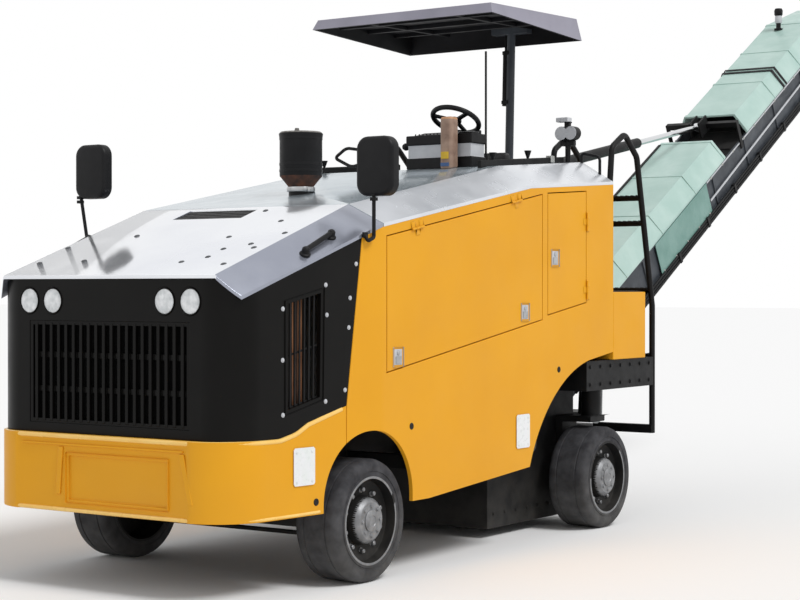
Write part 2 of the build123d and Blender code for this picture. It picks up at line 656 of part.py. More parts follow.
# Driver's station
with BuildPart() as over_top:
    under_top(-SEAT)
CONSOLE_X = (25.0, 500.0)
CONSOLE_BACK = (1710.0, 1870.0)
CONSOLE_BANDS = (
    # grown by, low z, high z
    (10.0, 2479.0, 2540.0),
    (0.0, 2394.0, 2479.0),
    (8.0, 2321.0, 2394.0),
    (-6.0, 2200.0, 2321.0),
)
with BuildPart() as console:
    for grown, z_low, z_high in CONSOLE_BANDS:
        block((CONSOLE_X[0] - grown, CONSOLE_X[1] + grown), (CONSOLE_BACK[0] - grown, CONSOLE_BACK[1] + grown),
              (z_low, z_high))
    add(over_top.part, mode=Mode.SUBTRACT)
    prism_x([(CONSOLE_BACK[0] + 10, CONSOLE_BANDS[0][2] - 5), (CONSOLE_BACK[1], CONSOLE_BANDS[0][2] - 5),
             (CONSOLE_BACK[1], CONSOLE_BANDS[0][2] + 30)], CONSOLE_X[0] + 20, CONSOLE_X[1] - 20)
save(console, "console")
COLUMN_X = (335.0, 425.0)
COLUMN_BACK = (1600.0, 1690.0)
COLUMN_TOP = 2640.0
with BuildPart() as control_column:
    block(COLUMN_X, COLUMN_BACK, (2250, COLUMN_TOP))
    fillet(edges().filter_by(Axis.Z), radius=24)
    fillet(faces().sort_by(Axis.Z)[-1].edges(), radius=16)
    add(over_top.part, mode=Mode.SUBTRACT)
save(control_column, "control_column")

# Steering wheel, tipped towards the driver, on a stub out of the console
WHEEL_RIM_R = 150.0
WHEEL_TIP = 28.0
STUB_LENGTH = 125.0
steering_plane = Plane(
    origin=(330.0, back(1800), CONSOLE_BANDS[0][2] + 95.0), x_dir=(1, 0, 0),
    z_dir=(0, sin(radians(WHEEL_TIP)), cos(radians(WHEEL_TIP))),
)
with BuildPart() as steering_wheel:
    with BuildSketch(Plane(origin=steering_plane.from_local_coords((WHEEL_RIM_R, 0, 0)), x_dir=(1, 0, 0),
                           z_dir=steering_plane.y_dir)) as rim_round:
        Circle(16)
    revolve(rim_round.sketch, axis=Axis(steering_plane.origin, steering_plane.z_dir))
    with BuildSketch(steering_plane.offset(-12)) as spokes:
        for turn in (90, 210, 330):
            with Locations(Rotation(0, 0, turn)):
                with Locations((WHEEL_RIM_R / 2, 0)):
                    Rectangle(WHEEL_RIM_R, 26)
        Circle(38)
    extrude(spokes.sketch, amount=16)
    with BuildSketch(steering_plane.offset(-STUB_LENGTH)) as stub:
        Circle(22)
    extrude(stub.sketch, amount=STUB_LENGTH)
    add(console.part, mode=Mode.SUBTRACT)
save(steering_wheel, "steering_wheel")

SEAT_X = (0.0, 330.0)
SEAT_BACK = (2200.0, 2430.0, 2510.0)     # front of the cushion, front and rear of the backrest
SEAT_Z = (2300.0, 2390.0, 2760.0)        # foot and top of the cushion, top of the backrest
SEAT_BASE = ((90.0, 240.0), (2280.0, 2420.0))
with BuildPart() as seat:
    block(SEAT_X, (SEAT_BACK[0], SEAT_BACK[1] + 50), SEAT_Z[:2])
    block(SEAT_X, SEAT_BACK[1:], SEAT_Z[1:])
    block(*SEAT_BASE, (WELL_FLOOR + SEAT, SEAT_Z[0]))
save(seat, "seat")
RAIL_SLOPE = ((1500.0, 2350.0), (2650.0, 2440.0))    # line of the side rails' upper edge
RAIL_ENDS = (1560.0, 2600.0)
with BuildPart() as well_rails:
    block((WELL_X + 20, WELL_X + 45), RAIL_ENDS, (CUT_LOW, SHELL_HIGH))
    prism_x([*RAIL_SLOPE, (RAIL_SLOPE[1][0], CUT_HIGH), (RAIL_SLOPE[0][0], CUT_HIGH)], 0, WIDE, mode=Mode.SUBTRACT)
    mirror(about=Plane.YZ)
    add(over_top.part, mode=Mode.SUBTRACT)
save(well_rails, "well_rails")
DECK_LAMP_X = 673.0        # post of the two round lamps
DECK_LAMP_BACK = 2640.0
DECK_LAMP_Z = 2592.0
DECK_LAMP_R = 46.0
with BuildPart() as deck_lamp:
    rod_z(18, DECK_LAMP_X, DECK_LAMP_BACK, CUT_LOW, DECK_LAMP_Z - 52)
    add(over_top.part, mode=Mode.SUBTRACT)
    block((DECK_LAMP_X - 53, DECK_LAMP_X + 52), (DECK_LAMP_BACK - 15, DECK_LAMP_BACK + 20),
          (DECK_LAMP_Z - 82, DECK_LAMP_Z - 47))
    for x in (DECK_LAMP_X - 33, DECK_LAMP_X + 39):
        with BuildSketch(Plane.XZ.offset(-back(DECK_LAMP_BACK - 40))) as lamp:
            with Locations((x, DECK_LAMP_Z)):
                Circle(DECK_LAMP_R)
        extrude(lamp.sketch, amount=-70)
    block((DECK_LAMP_X - 18, DECK_LAMP_X + 18), (DECK_LAMP_BACK - 20, DECK_LAMP_BACK + 15),
          (DECK_LAMP_Z - 52, DECK_LAMP_Z + 78))
    block((DECK_LAMP_X - 73, DECK_LAMP_X + 17), (DECK_LAMP_BACK - 35, DECK_LAMP_BACK + 25),
          (DECK_LAMP_Z + 76, DECK_LAMP_Z + 106))
save(deck_lamp, "deck_lamp")

# Aerial on the deck behind the console
AERIAL_X = 490.0
AERIAL_BACK = 1903.0
AERIAL_TOP = 3070.0
AERIAL_FOOT_TOP = 2420.0
with BuildPart() as aerial:
    rod_z(7, AERIAL_X, AERIAL_BACK, CUT_LOW, AERIAL_TOP)
    rod_z(16, AERIAL_X, AERIAL_BACK, CUT_LOW, AERIAL_FOOT_TOP)
    add(over_top.part, mode=Mode.SUBTRACT)
save(aerial, "aerial")

# Roof on its one mast
def roof_level(grown, heights, drop):
    """The roof's outline at its foot or top, grown sideways and lowered."""
    ends = (ROOF_BACK[0] - grown, ROOF_BACK[1] + grown)
    fall = Vector(0, ends[1] - ends[0], heights[1] - heights[0])
    plane = Plane(origin=(0, back(ends[0]), heights[0] - drop), x_dir=(1, 0, 0), z_dir=Vector(1, 0, 0).cross(fall))
    with BuildSketch(plane) as level:
        with Locations((0, fall.length / 2)):
            Rectangle(2 * (ROOF_X + grown), fall.length)
    return level.sketch


with BuildPart() as roof_canopy:
    loft([roof_level(ROOF_FLARE, ROOF_FOOT, 0), roof_level(0, ROOF_TOP, 0)], ruled=True)
    loft([roof_level(ROOF_FLARE - ROOF_WALL, ROOF_FOOT, 2), roof_level(-ROOF_WALL, ROOF_TOP, ROOF_WALL)],
         ruled=True, mode=Mode.SUBTRACT)
save(roof_canopy, "roof_canopy")
MAST_FOOT = (MAST_X, 2672.0, 2380.0)
MAST_TOP = (MAST_X, 2705.0, 3344.0)
with BuildPart() as roof_mast:
    tube([MAST_FOOT, MAST_TOP], 28)
    block((60, 340), (2670, 2740), (3290, 3343))
    add(over_top.part, mode=Mode.SUBTRACT)
    under = ROOF_WALL + SEAT
    prism_x([(ROOF_BACK[0], ROOF_TOP[0] - under), (ROOF_BACK[1], ROOF_TOP[1] - under),
             (ROOF_BACK[1], ROOF_TOP[1] + 100), (ROOF_BACK[0], ROOF_TOP[0] + 100)], -ROOF_X, ROOF_X,
            mode=Mode.SUBTRACT)
save(roof_mast, "roof_mast")

# Ladders with hoops over to the deck
STRINGER_X = (490.0, 925.0)
STRINGER_R = 20.0
STRINGER_BACK = BEAM_BACK[1] + SEAT + STRINGER_R
HOOP = ((STRINGER_BACK, 574.0), (STRINGER_BACK, 1450.0), (3140.0, 2456.0), (2960.0, 2600.0), (2780.0, 2500.0),
        (2745.0, 2180.0))
TREADS = (
    # z, back
    (590.0, STRINGER_BACK), (1100.0, STRINGER_BACK), (1551.0, 3352.0), (2007.0, 3245.0), (2178.0, 3205.0),
)
with BuildPart() as ladders:
    for x in STRINGER_X:
        tube([(x, b, z) for b, z in HOOP], STRINGER_R, 60)
    for z, b in TREADS:
        block((STRINGER_X[0], STRINGER_X[1]), (b - 18, b + 18), (z - 14, z + 14))
    mirror(about=Plane.YZ)
save(ladders, "ladders")

# Drum housing, open below and at the rear
with BuildPart() as drum_housing:
    span = (DRUM_BACK - HOUSING_HALF, DRUM_BACK + HOUSING_HALF)
    inside = (span[0] + HOUSING_WALL, span[1] - HOUSING_WALL)
    top = TAIL_RAIL_Z[0] - SEAT
    block((-HOUSING_X[1], HOUSING_X[1]), span, (HOUSING_FOOT, top))
    block((-HOUSING_X[0], HOUSING_X[0]), inside, (0, top - HOUSING_WALL), mode=Mode.SUBTRACT)
    block(DISCHARGE[0], (inside[1] - 5, span[1] + 5), DISCHARGE[1], mode=Mode.SUBTRACT)
    rod_x(SHAFT_R + PIN_CLEAR, -700, 700, DRUM_BACK, DRUM_Z, mode=Mode.SUBTRACT)
save(drum_housing, "drum_housing")

HOLDER = (44.0, 74.0)      # width and height above the drum
PICK_LEAN = 42.0           # degrees that a pick leans into the cut
PICK_LENGTH = 84.0
PICK_R = 15.0
HELIX_STEP = 24.0          # turn from one pick to the next, in degrees
with BuildPart() as milling_drum:
    rod_x(DRUM_R, -DRUM_HALF, DRUM_HALF, DRUM_BACK, DRUM_Z)
    rod_x(SHAFT_R, -HOUSING_X[1], HOUSING_X[1], DRUM_BACK, DRUM_Z)
    lean = radians(PICK_LEAN)
    for i in range(PICKS_PER_ROW):
        x = -DRUM_HALF + 40 + i * (2 * DRUM_HALF - 80) / (PICKS_PER_ROW - 1)
        lead_angle = abs(i - (PICKS_PER_ROW - 1) / 2) * HELIX_STEP
        for row in range(PICK_ROWS):
            turn = radians(lead_angle + 360 * row / PICK_ROWS)
            outward = Vector(0, cos(turn), sin(turn))
            along = Vector(0, sin(turn), -cos(turn))
            centre = Vector(x, back(DRUM_BACK), DRUM_Z)
            tip = centre + outward * DRUM_CUT_R
            aim = outward * cos(lean) + along * sin(lean)
            with BuildSketch(Plane(origin=centre, x_dir=outward, z_dir=(1, 0, 0)).offset(-HOLDER[0] / 2)) as holder:
                with BuildLine():
                    Polyline((DRUM_R - 12, -10), (DRUM_R + HOLDER[1] - 20, 18), (DRUM_R + HOLDER[1] + 12, 54),
                             (DRUM_R + 20, 95), (DRUM_R - 12, 95), close=True)
                make_face()
            extrude(holder.sketch, amount=HOLDER[0])
            with Locations(Plane(origin=tip - aim * PICK_LENGTH, z_dir=aim)):
                Cone(PICK_R, 4, PICK_LENGTH, align=(Align.CENTER, Align.CENTER, Align.MIN))
save(milling_drum, "milling_drum")

# Front axle, knuckles and tie rod
AXLE_HALF = 60.0           # half the beam's width and height
KNUCKLE_R = 50.0
EYE_Z = (TYRE_R - 65, TYRE_R + 65)
LUG_Z = (TYRE_R - 105, TYRE_R + 105)
TRACK_ARM_Z = (LUG_Z[0], LUG_Z[0] + 25)
with BuildPart() as front_axle:
    block((0, KINGPIN_X - 45), (-AXLE_HALF, AXLE_HALF), (TYRE_R - AXLE_HALF, TYRE_R + AXLE_HALF))
    rod_z(KNUCKLE_R, KINGPIN_X, 0, *EYE_Z)
    rod_z(KINGPIN_R + PIN_CLEAR, KINGPIN_X, 0, 0, 2 * TYRE_R, mode=Mode.SUBTRACT)
    mirror(about=Plane.YZ)
    block((-150, 150), (-90, 90), (TYRE_R, RAIL_Z[0] - SEAT))
save(front_axle, "front_axle")

with BuildPart() as knuckle:
    rod_z(KNUCKLE_R, KINGPIN_X, 0, *LUG_Z)
    block((KINGPIN_X, KINGPIN_X + 90), (-KNUCKLE_R, KNUCKLE_R), LUG_Z)
    rod_z(KNUCKLE_R + PIVOT_GAP, KINGPIN_X, 0, EYE_Z[0] - SEAT, EYE_Z[1] + SEAT, mode=Mode.SUBTRACT)
    rod_z(KINGPIN_R, KINGPIN_X, 0, *LUG_Z)
    rod_x(SPINDLE_R, KINGPIN_X + 80, SPINDLE_END, 0, TYRE_R)
    block((KINGPIN_X - 25, KINGPIN_X + 25), (30, TRACK_ARM + 22), TRACK_ARM_Z)
save_pair(knuckle, "knuckle")
ROD_DROP = 20.0
with BuildPart() as tie_rod:
    z = TRACK_ARM_Z[0] - ROD_DROP
    rod_x(13, 0, KINGPIN_X, TRACK_ARM, z)
    rod_z(20, KINGPIN_X, TRACK_ARM, z - 18, TRACK_ARM_Z[0] - 0.5)
    mirror(about=Plane.YZ)
save(tie_rod, "tie_rod")

# Rear legs: a column over each wheel and an arm down to its spindle
LEG_BACK = (2600.0, 2800.0)
LEG_X = (600.0, 655.0)     # arm beside the wheel
LEG_SHOULDER = (690.0, 730.0)    # plate over the wheel
with BuildPart() as rear_legs:
    rod_z(65, 800, 2730, LEG_SHOULDER[0], BEAM_Z[0] - SEAT)
    block((LEG_X[0], 865), LEG_BACK, LEG_SHOULDER)
    block(LEG_X, LEG_BACK, (215, LEG_SHOULDER[0] + 10))
    rod_x(SPINDLE_R, LEG_X[1] - 5, SPINDLE_END, WHEELBASE, TYRE_R)
    mirror(about=Plane.YZ)
save(rear_legs, "rear_legs")

# Wheels: solid tyre on a dished rim with a deep hub
TYRE_CHAMFER = 30.0
RIM_WALL = 14.0
for place, b in (("front", 0.0), ("rear", WHEELBASE)):
    x_in = WHEEL_X - TYRE_W / 2
    x_out = WHEEL_X + TYRE_W / 2
    axle = Axis((0, back(b), TYRE_R), (1, 0, 0))
    with BuildPart() as tyre:
        with BuildSketch(Plane.XY.offset(TYRE_R)):
            with BuildLine():
                Polyline(*[(x, back(b) + r) for x, r in (
                    (x_in, RIM_R), (x_in, TYRE_R - TYRE_CHAMFER), (x_in + TYRE_CHAMFER, TYRE_R),
                    (x_out - TYRE_CHAMFER, TYRE_R), (x_out, TYRE_R - TYRE_CHAMFER), (x_out, RIM_R),
                )], close=True)
            make_face()
        revolve(axis=axle)
    save_pair(tyre, f"tyre_{place}")
    with BuildPart() as rim:
        with BuildSketch(Plane.XY.offset(TYRE_R)):
            with BuildLine():
                Polyline(*[(x, back(b) + r) for x, r in (
                    (x_in, RIM_R), (x_out, RIM_R), (x_out, RIM_R - RIM_WALL), (x_out - 55, RIM_R - 22),
                    (x_out - 75, HUB_R + 12), (x_out - 20, HUB_R), (x_out, HUB_R - 20), (x_out, 0),
                    (SPINDLE_END + 1, 0), (SPINDLE_END + 1, SPINDLE_R + PIN_CLEAR),
                    (x_in + 65, SPINDLE_R + PIN_CLEAR), (x_in + 65, 90), (x_out - 95, 110),
                    (x_out - 95, RIM_R - RIM_WALL), (x_in, RIM_R - RIM_WALL),
                )], close=True)
            make_face()
        revolve(axis=axle)
    save_pair(rim, f"rim_{place}")

# Slewing console with its mast
BASE_Z = (RING_TOP + SEAT, RING_TOP + SEAT + 40.0)
MAST_LEG = (SLEW_BACK - 50, SLEW_BACK + 60)
MAST_TOP_Z = MAST_PIN_Z - 95.0
EAR_X = (EYE_HALF + PIVOT_GAP, EYE_HALF + PIVOT_GAP + 22.0)
with BuildPart() as slew_console:
    prism_x([
        (SLEW_BACK - 150, BASE_Z[0]), (SLEW_BACK + 150, BASE_Z[0]), (SLEW_BACK + 110, 1150), (MAST_LEG[1], 1400),
        (MAST_LEG[1], MAST_TOP_Z), (MAST_LEG[0], MAST_TOP_Z), (MAST_LEG[0], 1400), (SLEW_BACK - 110, 1150),
    ], *CHEEK_X)
    block(EAR_X, MAST_LEG, (MAST_TOP_Z - 10, MAST_PIN_Z + 40))
    mirror(about=Plane.YZ)
    block((-CHEEK_X[1], CHEEK_X[1]), (SLEW_BACK - 150, SLEW_BACK + 150), BASE_Z)
    block((-CHEEK_X[1], CHEEK_X[1]), MAST_LEG, (MAST_TOP_Z - 55, MAST_TOP_Z))
    rod_x(MAST_PIN_R, -EAR_X[1], EAR_X[1], SLEW_BACK, MAST_PIN_Z)
    rod_x(LUFF_PIN_R + PIN_CLEAR, -500, 500, SLEW_BACK, LUFF_Z, mode=Mode.SUBTRACT)
save(slew_console, "slew_console")

# Conveyor, drawn in its own plane
luff_plane = Plane(
    origin=(0, back(SLEW_BACK), LUFF_Z),
    x_dir=(0, cos(radians(INCLINE)), sin(radians(INCLINE))), z_dir=(1, 0, 0),
)


def prism_s(points, x_low, x_high, mode=Mode.ADD):
    """A solid of an outline in the conveyor's side view, given as (s, h)."""
    with BuildSketch(luff_plane.offset(x_low)) as profile:
        with BuildLine():
            Polyline(*[(s, h - PIVOT_H) for s, h in points], close=True)
        make_face()
    extrude(profile.sketch, amount=x_high - x_low, mode=mode)


def rod_s(radius, x_low, x_high, s, h, mode=Mode.ADD):
    """A round bar across the conveyor."""
    with BuildSketch(luff_plane.offset(x_low)) as profile:
        with Locations((s, h - PIVOT_H)):
            Circle(radius)
    extrude(profile.sketch, amount=x_high - x_low, mode=mode)


taper_start = CONV_HEAD - TAPER_LENGTH
foot_s = CONV_FOOT + PULLEY_R + BELT_T + 15
head_s = CONV_HEAD - PULLEY_R - BELT_T - 10
with BuildPart() as conveyor_frame:
    prism_s([
        (CONV_FOOT, 60), (CONV_FOOT + 60, 0), (taper_start, 0), (CONV_HEAD, HEAD_H[0]),
        (CONV_HEAD, HEAD_H[1]), (taper_start, CONV_DEPTH), (CONV_FOOT + 130, CONV_DEPTH), (CONV_FOOT, 200),
    ], CONV_HALF - CONV_WALL, CONV_HALF - FLANGE)
    for low, high in ((0.0, FLANGE), (CONV_DEPTH - FLANGE, CONV_DEPTH)):
        prism_s([(CONV_FOOT + 130, low), (taper_start, low), (taper_start, high), (CONV_FOOT + 130, high)],
                CONV_HALF - CONV_WALL, CONV_HALF)
    for i in range(STIFFENERS):
        s = 450 + i * (taper_start - 450) / (STIFFENERS - 1)
        prism_s([(s - 6, 4), (s + 6, 4), (s + 6, CONV_DEPTH - 4), (s - 6, CONV_DEPTH - 4)],
                CONV_HALF - CONV_WALL, CONV_HALF)
    rod_s(LUFF_PIN_R, CONV_HALF - 15, CHEEK_X[1], 0, PIVOT_H)
    mirror(about=Plane.YZ)
    for i in range(8):
        rod_s(ROLLER_R, -CONV_HALF + 10, CONV_HALF - 10, 200 + i * 750, PULLEY_H)
    for s in (foot_s, head_s):
        rod_s(PULLEY_R - SEAT, -BELT_HALF, BELT_HALF, s, PULLEY_H)
        rod_s(30, -CONV_HALF + 10, CONV_HALF - 10, s, PULLEY_H)
save(conveyor_frame, "conveyor_frame")

with BuildPart() as conveyor_belt:
    for radius, mode in ((PULLEY_R + BELT_T, Mode.ADD), (PULLEY_R, Mode.SUBTRACT)):
        with BuildSketch(luff_plane.offset(-BELT_HALF)):
            with Locations(((foot_s + head_s) / 2, PULLEY_H - PIVOT_H)):
                SlotCenterToCenter(head_s - foot_s, 2 * radius)
        extrude(amount=2 * BELT_HALF, mode=mode)
    for i in range(CLEATS):
        s = foot_s + (i + 0.5) * (head_s - foot_s) / CLEATS
        outer = PULLEY_R + BELT_T
        for low, high in ((outer - 2, outer + CLEAT[1]), (-outer - CLEAT[1], -outer + 2)):
            prism_s([(s - CLEAT[0] / 2, PULLEY_H + low), (s + CLEAT[0] / 2, PULLEY_H + low),
                     (s + CLEAT[0] / 2, PULLEY_H + high), (s - CLEAT[0] / 2, PULLEY_H + high)],
                    -BELT_HALF + 30, BELT_HALF - 30)
save(conveyor_belt, "conveyor_belt")


def frame_top(s):
    """Height of the side frames' upper edge above the underside."""
    return CONV_DEPTH - max(0.0, s - taper_start) * (CONV_DEPTH - HEAD_H[1]) / TAPER_LENGTH


def cover_length(stations, shrink, mode=Mode.ADD):
    """A length of cover between two stations (s, rise), or its inside when shrunk."""
    sections = []
    for s, rise in stations:
        foot = frame_top(s) - PIVOT_H + SEAT - shrink
        low = foot + COVER_LIP
        high = foot + rise
        plane = Plane(origin=luff_plane.from_local_coords((s, 0, 0)), x_dir=(1, 0, 0), z_dir=-luff_plane.x_dir)
        with BuildSketch(plane) as section:
            with BuildLine():
                Polyline(
                    (-CONV_HALF + shrink, foot), (CONV_HALF - shrink, foot), (CONV_HALF - shrink, low),
                    (COVER_TOP_HALF - shrink / 2, high), (-COVER_TOP_HALF + shrink / 2, high),
                    (-CONV_HALF + shrink, low), close=True,
                )
            make_face()
        sections.append(section.sketch)
    loft(sections, ruled=True, mode=mode)


with BuildPart() as conveyor_cover:
    for shrink, mode in ((0.0, Mode.ADD), (COVER_T, Mode.SUBTRACT)):
        cover_length(((COVER_ENDS[0], COVER_RISE), (COVER_BREAK[0], COVER_RISE)), shrink, mode)
        cover_length(((COVER_BREAK[1], COVER_RISE), (taper_start, COVER_RISE)), shrink, mode)
        cover_length(((taper_start, COVER_RISE), (COVER_ENDS[1], COVER_HEAD_RISE)), shrink, mode)
save(conveyor_cover, "conveyor_cover")

# Portal over the cover for the luffing cylinder's eye
PORTAL_S = (EYE_S + 60, EYE_S + 110)
with BuildPart() as luff_portal:
    prism_s([(PORTAL_S[0], CONV_DEPTH - 60), (PORTAL_S[1], CONV_DEPTH - 60), (PORTAL_S[1], EYE_H),
             (PORTAL_S[0], EYE_H)], CONV_HALF + SEAT, CONV_HALF + 15)
    prism_s([(EYE_S - 60, EYE_H - 75), (PORTAL_S[1], EYE_H - 75), (PORTAL_S[1], EYE_H + 60),
             (EYE_S - 60, EYE_H + 60)], EYE_HALF + PIVOT_GAP + 6, EYE_HALF + PIVOT_GAP + 22)
    mirror(about=Plane.YZ)
    prism_s([(PORTAL_S[0], EYE_H - 45), (PORTAL_S[1], EYE_H - 45), (PORTAL_S[1], EYE_H),
             (PORTAL_S[0], EYE_H)], -CONV_HALF - 15, CONV_HALF + 15)
save(luff_portal, "luff_portal")

# Luffing cylinder from the mast head to the portal
eye = luff_plane.from_local_coords((EYE_S, EYE_H - PIVOT_H, 0))
pin = Vector(0, back(SLEW_BACK), MAST_PIN_Z)
reach = (eye - pin).length
cylinder_plane = Plane(origin=pin, x_dir=(eye - pin).normalized(), z_dir=(1, 0, 0))


def rod_along(radius, start, end, mode=Mode.ADD):
    """A round bar along the cylinder."""
    plane = Plane(origin=cylinder_plane.from_local_coords((start, 0, 0)), z_dir=cylinder_plane.x_dir)
    with BuildSketch(plane) as profile:
        Circle(radius)
    extrude(profile.sketch, amount=end - start, mode=mode)


def eye_ring(place, bore):
    """An eye across the cylinder."""
    with BuildSketch(cylinder_plane.offset(-EYE_HALF)) as profile:
        with Locations((place, 0)):
            Circle(EYE_R)
            Circle(bore, mode=Mode.SUBTRACT)
    extrude(profile.sketch, amount=2 * EYE_HALF)


with BuildPart() as luff_barrel:
    rod_along(BARREL_R, BARREL_START, BARREL_LENGTH)
    rod_along(ROD_R + PIN_CLEAR, 300, BARREL_LENGTH + 10, mode=Mode.SUBTRACT)
    rod_along(EYE_HALF, EYE_R - 8, BARREL_START + 5)
    eye_ring(0, MAST_PIN_R + PIN_CLEAR)
save(luff_barrel, "luff_barrel")
with BuildPart() as luff_rod:
    rod_along(ROD_R - 5, reach - ROD_LENGTH, reach - EYE_R + 5)
    rod_along(ROD_R, reach - ROD_LENGTH, reach - 100)
    eye_ring(reach, MAST_PIN_R)
save(luff_rod, "luff_rod")
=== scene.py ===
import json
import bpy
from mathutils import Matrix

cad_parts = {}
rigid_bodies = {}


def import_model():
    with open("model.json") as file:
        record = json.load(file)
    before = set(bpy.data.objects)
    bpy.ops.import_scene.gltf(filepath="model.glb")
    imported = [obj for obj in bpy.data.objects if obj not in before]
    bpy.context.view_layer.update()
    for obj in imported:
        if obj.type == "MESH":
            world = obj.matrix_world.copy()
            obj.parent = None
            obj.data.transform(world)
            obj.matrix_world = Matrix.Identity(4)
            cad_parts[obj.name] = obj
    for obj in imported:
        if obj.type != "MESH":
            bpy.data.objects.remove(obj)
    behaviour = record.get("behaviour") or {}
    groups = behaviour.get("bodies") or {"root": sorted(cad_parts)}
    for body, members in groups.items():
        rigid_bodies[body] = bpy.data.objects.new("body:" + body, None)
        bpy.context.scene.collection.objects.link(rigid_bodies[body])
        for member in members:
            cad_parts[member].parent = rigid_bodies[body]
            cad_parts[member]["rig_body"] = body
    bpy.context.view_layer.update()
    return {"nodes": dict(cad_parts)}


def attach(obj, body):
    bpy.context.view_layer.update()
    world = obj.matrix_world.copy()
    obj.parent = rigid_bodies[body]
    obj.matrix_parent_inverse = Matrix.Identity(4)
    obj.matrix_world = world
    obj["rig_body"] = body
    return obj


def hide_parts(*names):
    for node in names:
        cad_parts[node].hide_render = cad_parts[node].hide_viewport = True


bl_info = {
    "name": "Cold Planer",
    "version": (1, 0, 0),
    "blender": (4, 5, 0),
    "location": "3D View > Sidebar > Planer",
    "description": "Finishes and small parts for a cold planer with a rear conveyor",
    "category": "Add Mesh",
}

from math import cos, radians, sin, tau

import bmesh
import bpy
from mathutils import Matrix, Vector

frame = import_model()

# Lengths are written in millimetres, as distances behind the front axle, and
# placed in the frame's metres by at(). +X is the machine's left, +Y its rear.
MM = 0.001
FRONT_AXLE_Y = -4012.0
SIDES = ((1, "left"), (-1, "right"))
ACROSS = Vector((1, 0, 0))
REARWARD = Vector((0, 1, 0))
UP = Vector((0, 0, 1))

# Photograph's camera, in the same millimetres
CAMERA_PLACE = (6486.71, -7831.94, 1572.48)
CAMERA_AZIMUTH = radians(34.36)
CAMERA_DOWN = radians(0.39)
CAMERA_LENS = 81.07

# Body of the machine, as the frame has it
WHEELBASE = 2684.0
AXLE_Z = 330.0
BODY_HALF = 970.0
BEND_BACK = 75.0
TAPER = 0.123
TOP_HALF = 740.0
TOP_STATIONS = (
    # back, z of the edge, z of the flat
    (-1036.0, 1503.0, 1638.0),
    (75.0, 1917.0, 2026.0),
    (1651.0, 2195.0, 2322.0),
    (2718.0, 2268.0, 2405.0),
)
BUMPER_FRONT = -1079.0
BUMPER_HALF = 847.0
BUMPER_TAPER = 0.1013

# Conveyor: s runs up the belt from the luffing axis, h is square to it from the underside
SLEW_BACK = 3550.0
LUFF_Z = 1010.0
INCLINE = radians(29.5)
PIVOT_H = 107.0
CONVEYOR_HALF = 310.0
UP_BELT = Vector((0, cos(INCLINE), sin(INCLINE)))

# Directions out of the tapered sides on the left
LEFT_SIDE = Vector((1, -TAPER, 0)).normalized()
BUMPER_SIDE = Vector((1, -BUMPER_TAPER, 0)).normalized()


def at(x, back, z):
    """A point in the frame, in metres."""
    return Vector((x, FRONT_AXLE_Y + back, z)) * MM


def side_x(back):
    """Half width of the body at a distance behind the front axle."""
    return BODY_HALF - max(0.0, BEND_BACK - back) * TAPER


def bumper_x(back):
    """Half width of the bumper's side at a distance behind the front axle."""
    return BUMPER_HALF + (back - BUMPER_FRONT) * BUMPER_TAPER


def top_z(x, back):
    """Height of the hood or deck over a point."""
    for ahead, behind in zip(TOP_STATIONS, TOP_STATIONS[1:]):
        if back <= behind[0]:
            break
    share = (back - ahead[0]) / (behind[0] - ahead[0])
    edge = ahead[1] + share * (behind[1] - ahead[1])
    flat = ahead[2] + share * (behind[2] - ahead[2])
    out = max(0.0, abs(x) - TOP_HALF) / (side_x(back) - TOP_HALF)
    return flat + (edge - flat) * out


def up_belt(s, h, x):
    """A point of the conveyor in the frame, in metres."""
    h -= PIVOT_H
    return at(x, SLEW_BACK + s * cos(INCLINE) - h * sin(INCLINE),
              LUFF_Z + s * sin(INCLINE) + h * cos(INCLINE))


def span(side, inner, outer):
    """A range of x on one side of the machine, from low to high."""
    return sorted((side * inner, side * outer))


def between(first, second, share):
    """A pair of values at a share of the way between two pairs."""
    return [start + (end - start) * share for start, end in zip(first, second)]


def paint_colour(code, alpha=1.0):
    """An sRGB hex colour as the linear colour that a shader takes."""
    values = [int(code[i:i + 2], 16) / 255 for i in (1, 3, 5)]
    return (*[v / 12.92 if v <= 0.04045 else ((v + 0.055) / 1.055) ** 2.4 for v in values], alpha)


# What a user would change
def colour_choice(name, description, code):
    """A colour to choose, with its default as a hex code."""
    return bpy.props.FloatVectorProperty(name=name, description=description, subtype="COLOR", size=3,
                                         min=0, max=1, default=paint_colour(code)[:3])


class PlanerLook(bpy.types.PropertyGroup):
    """Colours and sizes of the machine's looks"""
    body_colour: colour_choice("Body", "Enamel of the doors, side panels and bumper", "#e5a31f")
    hood_colour: colour_choice("Hood", "Enamel of the flat of the hood", "#eceef2")
    cover_colour: colour_choice("Covers", "Enamel of the conveyor's covers", "#a8c5bd")
    tyre_colour: colour_choice("Tyres", "Rubber of the tyres", "#2f2f32")
    dust: bpy.props.FloatProperty(name="Dust", description="How much dust the lower parts wear", default=0.3,
                                  min=0.0, max=1.0, subtype="FACTOR")
    bolt_size: bpy.props.FloatProperty(name="Bolts", description="Width of the bolt heads in millimetres",
                                       default=17.0, min=6.0, max=30.0)
    key_strength: bpy.props.FloatProperty(name="Key light", description="Strength of the lamp above",
                                          default=1.7, min=0.0, max=5.0)
    world_level: bpy.props.FloatProperty(name="Room light", description="Brightness of the even light around",
                                         default=0.57, min=0.0, max=1.0, subtype="FACTOR")


# Materials
def add_node(tree, kind, links=None, **settings):
    """A node with its settings; links gives an input a value or another node's output."""
    made = tree.nodes.new(kind)
    for name, value in settings.items():
        setattr(made, name, value)
    for name, value in (links or {}).items():
        if isinstance(value, bpy.types.NodeSocket):
            tree.links.new(value, made.inputs[name])
        else:
            made.inputs[name].default_value = value
    return made


MIX_FACTOR, MIX_A, MIX_B, MIX_RESULT = 0, 6, 7, 2


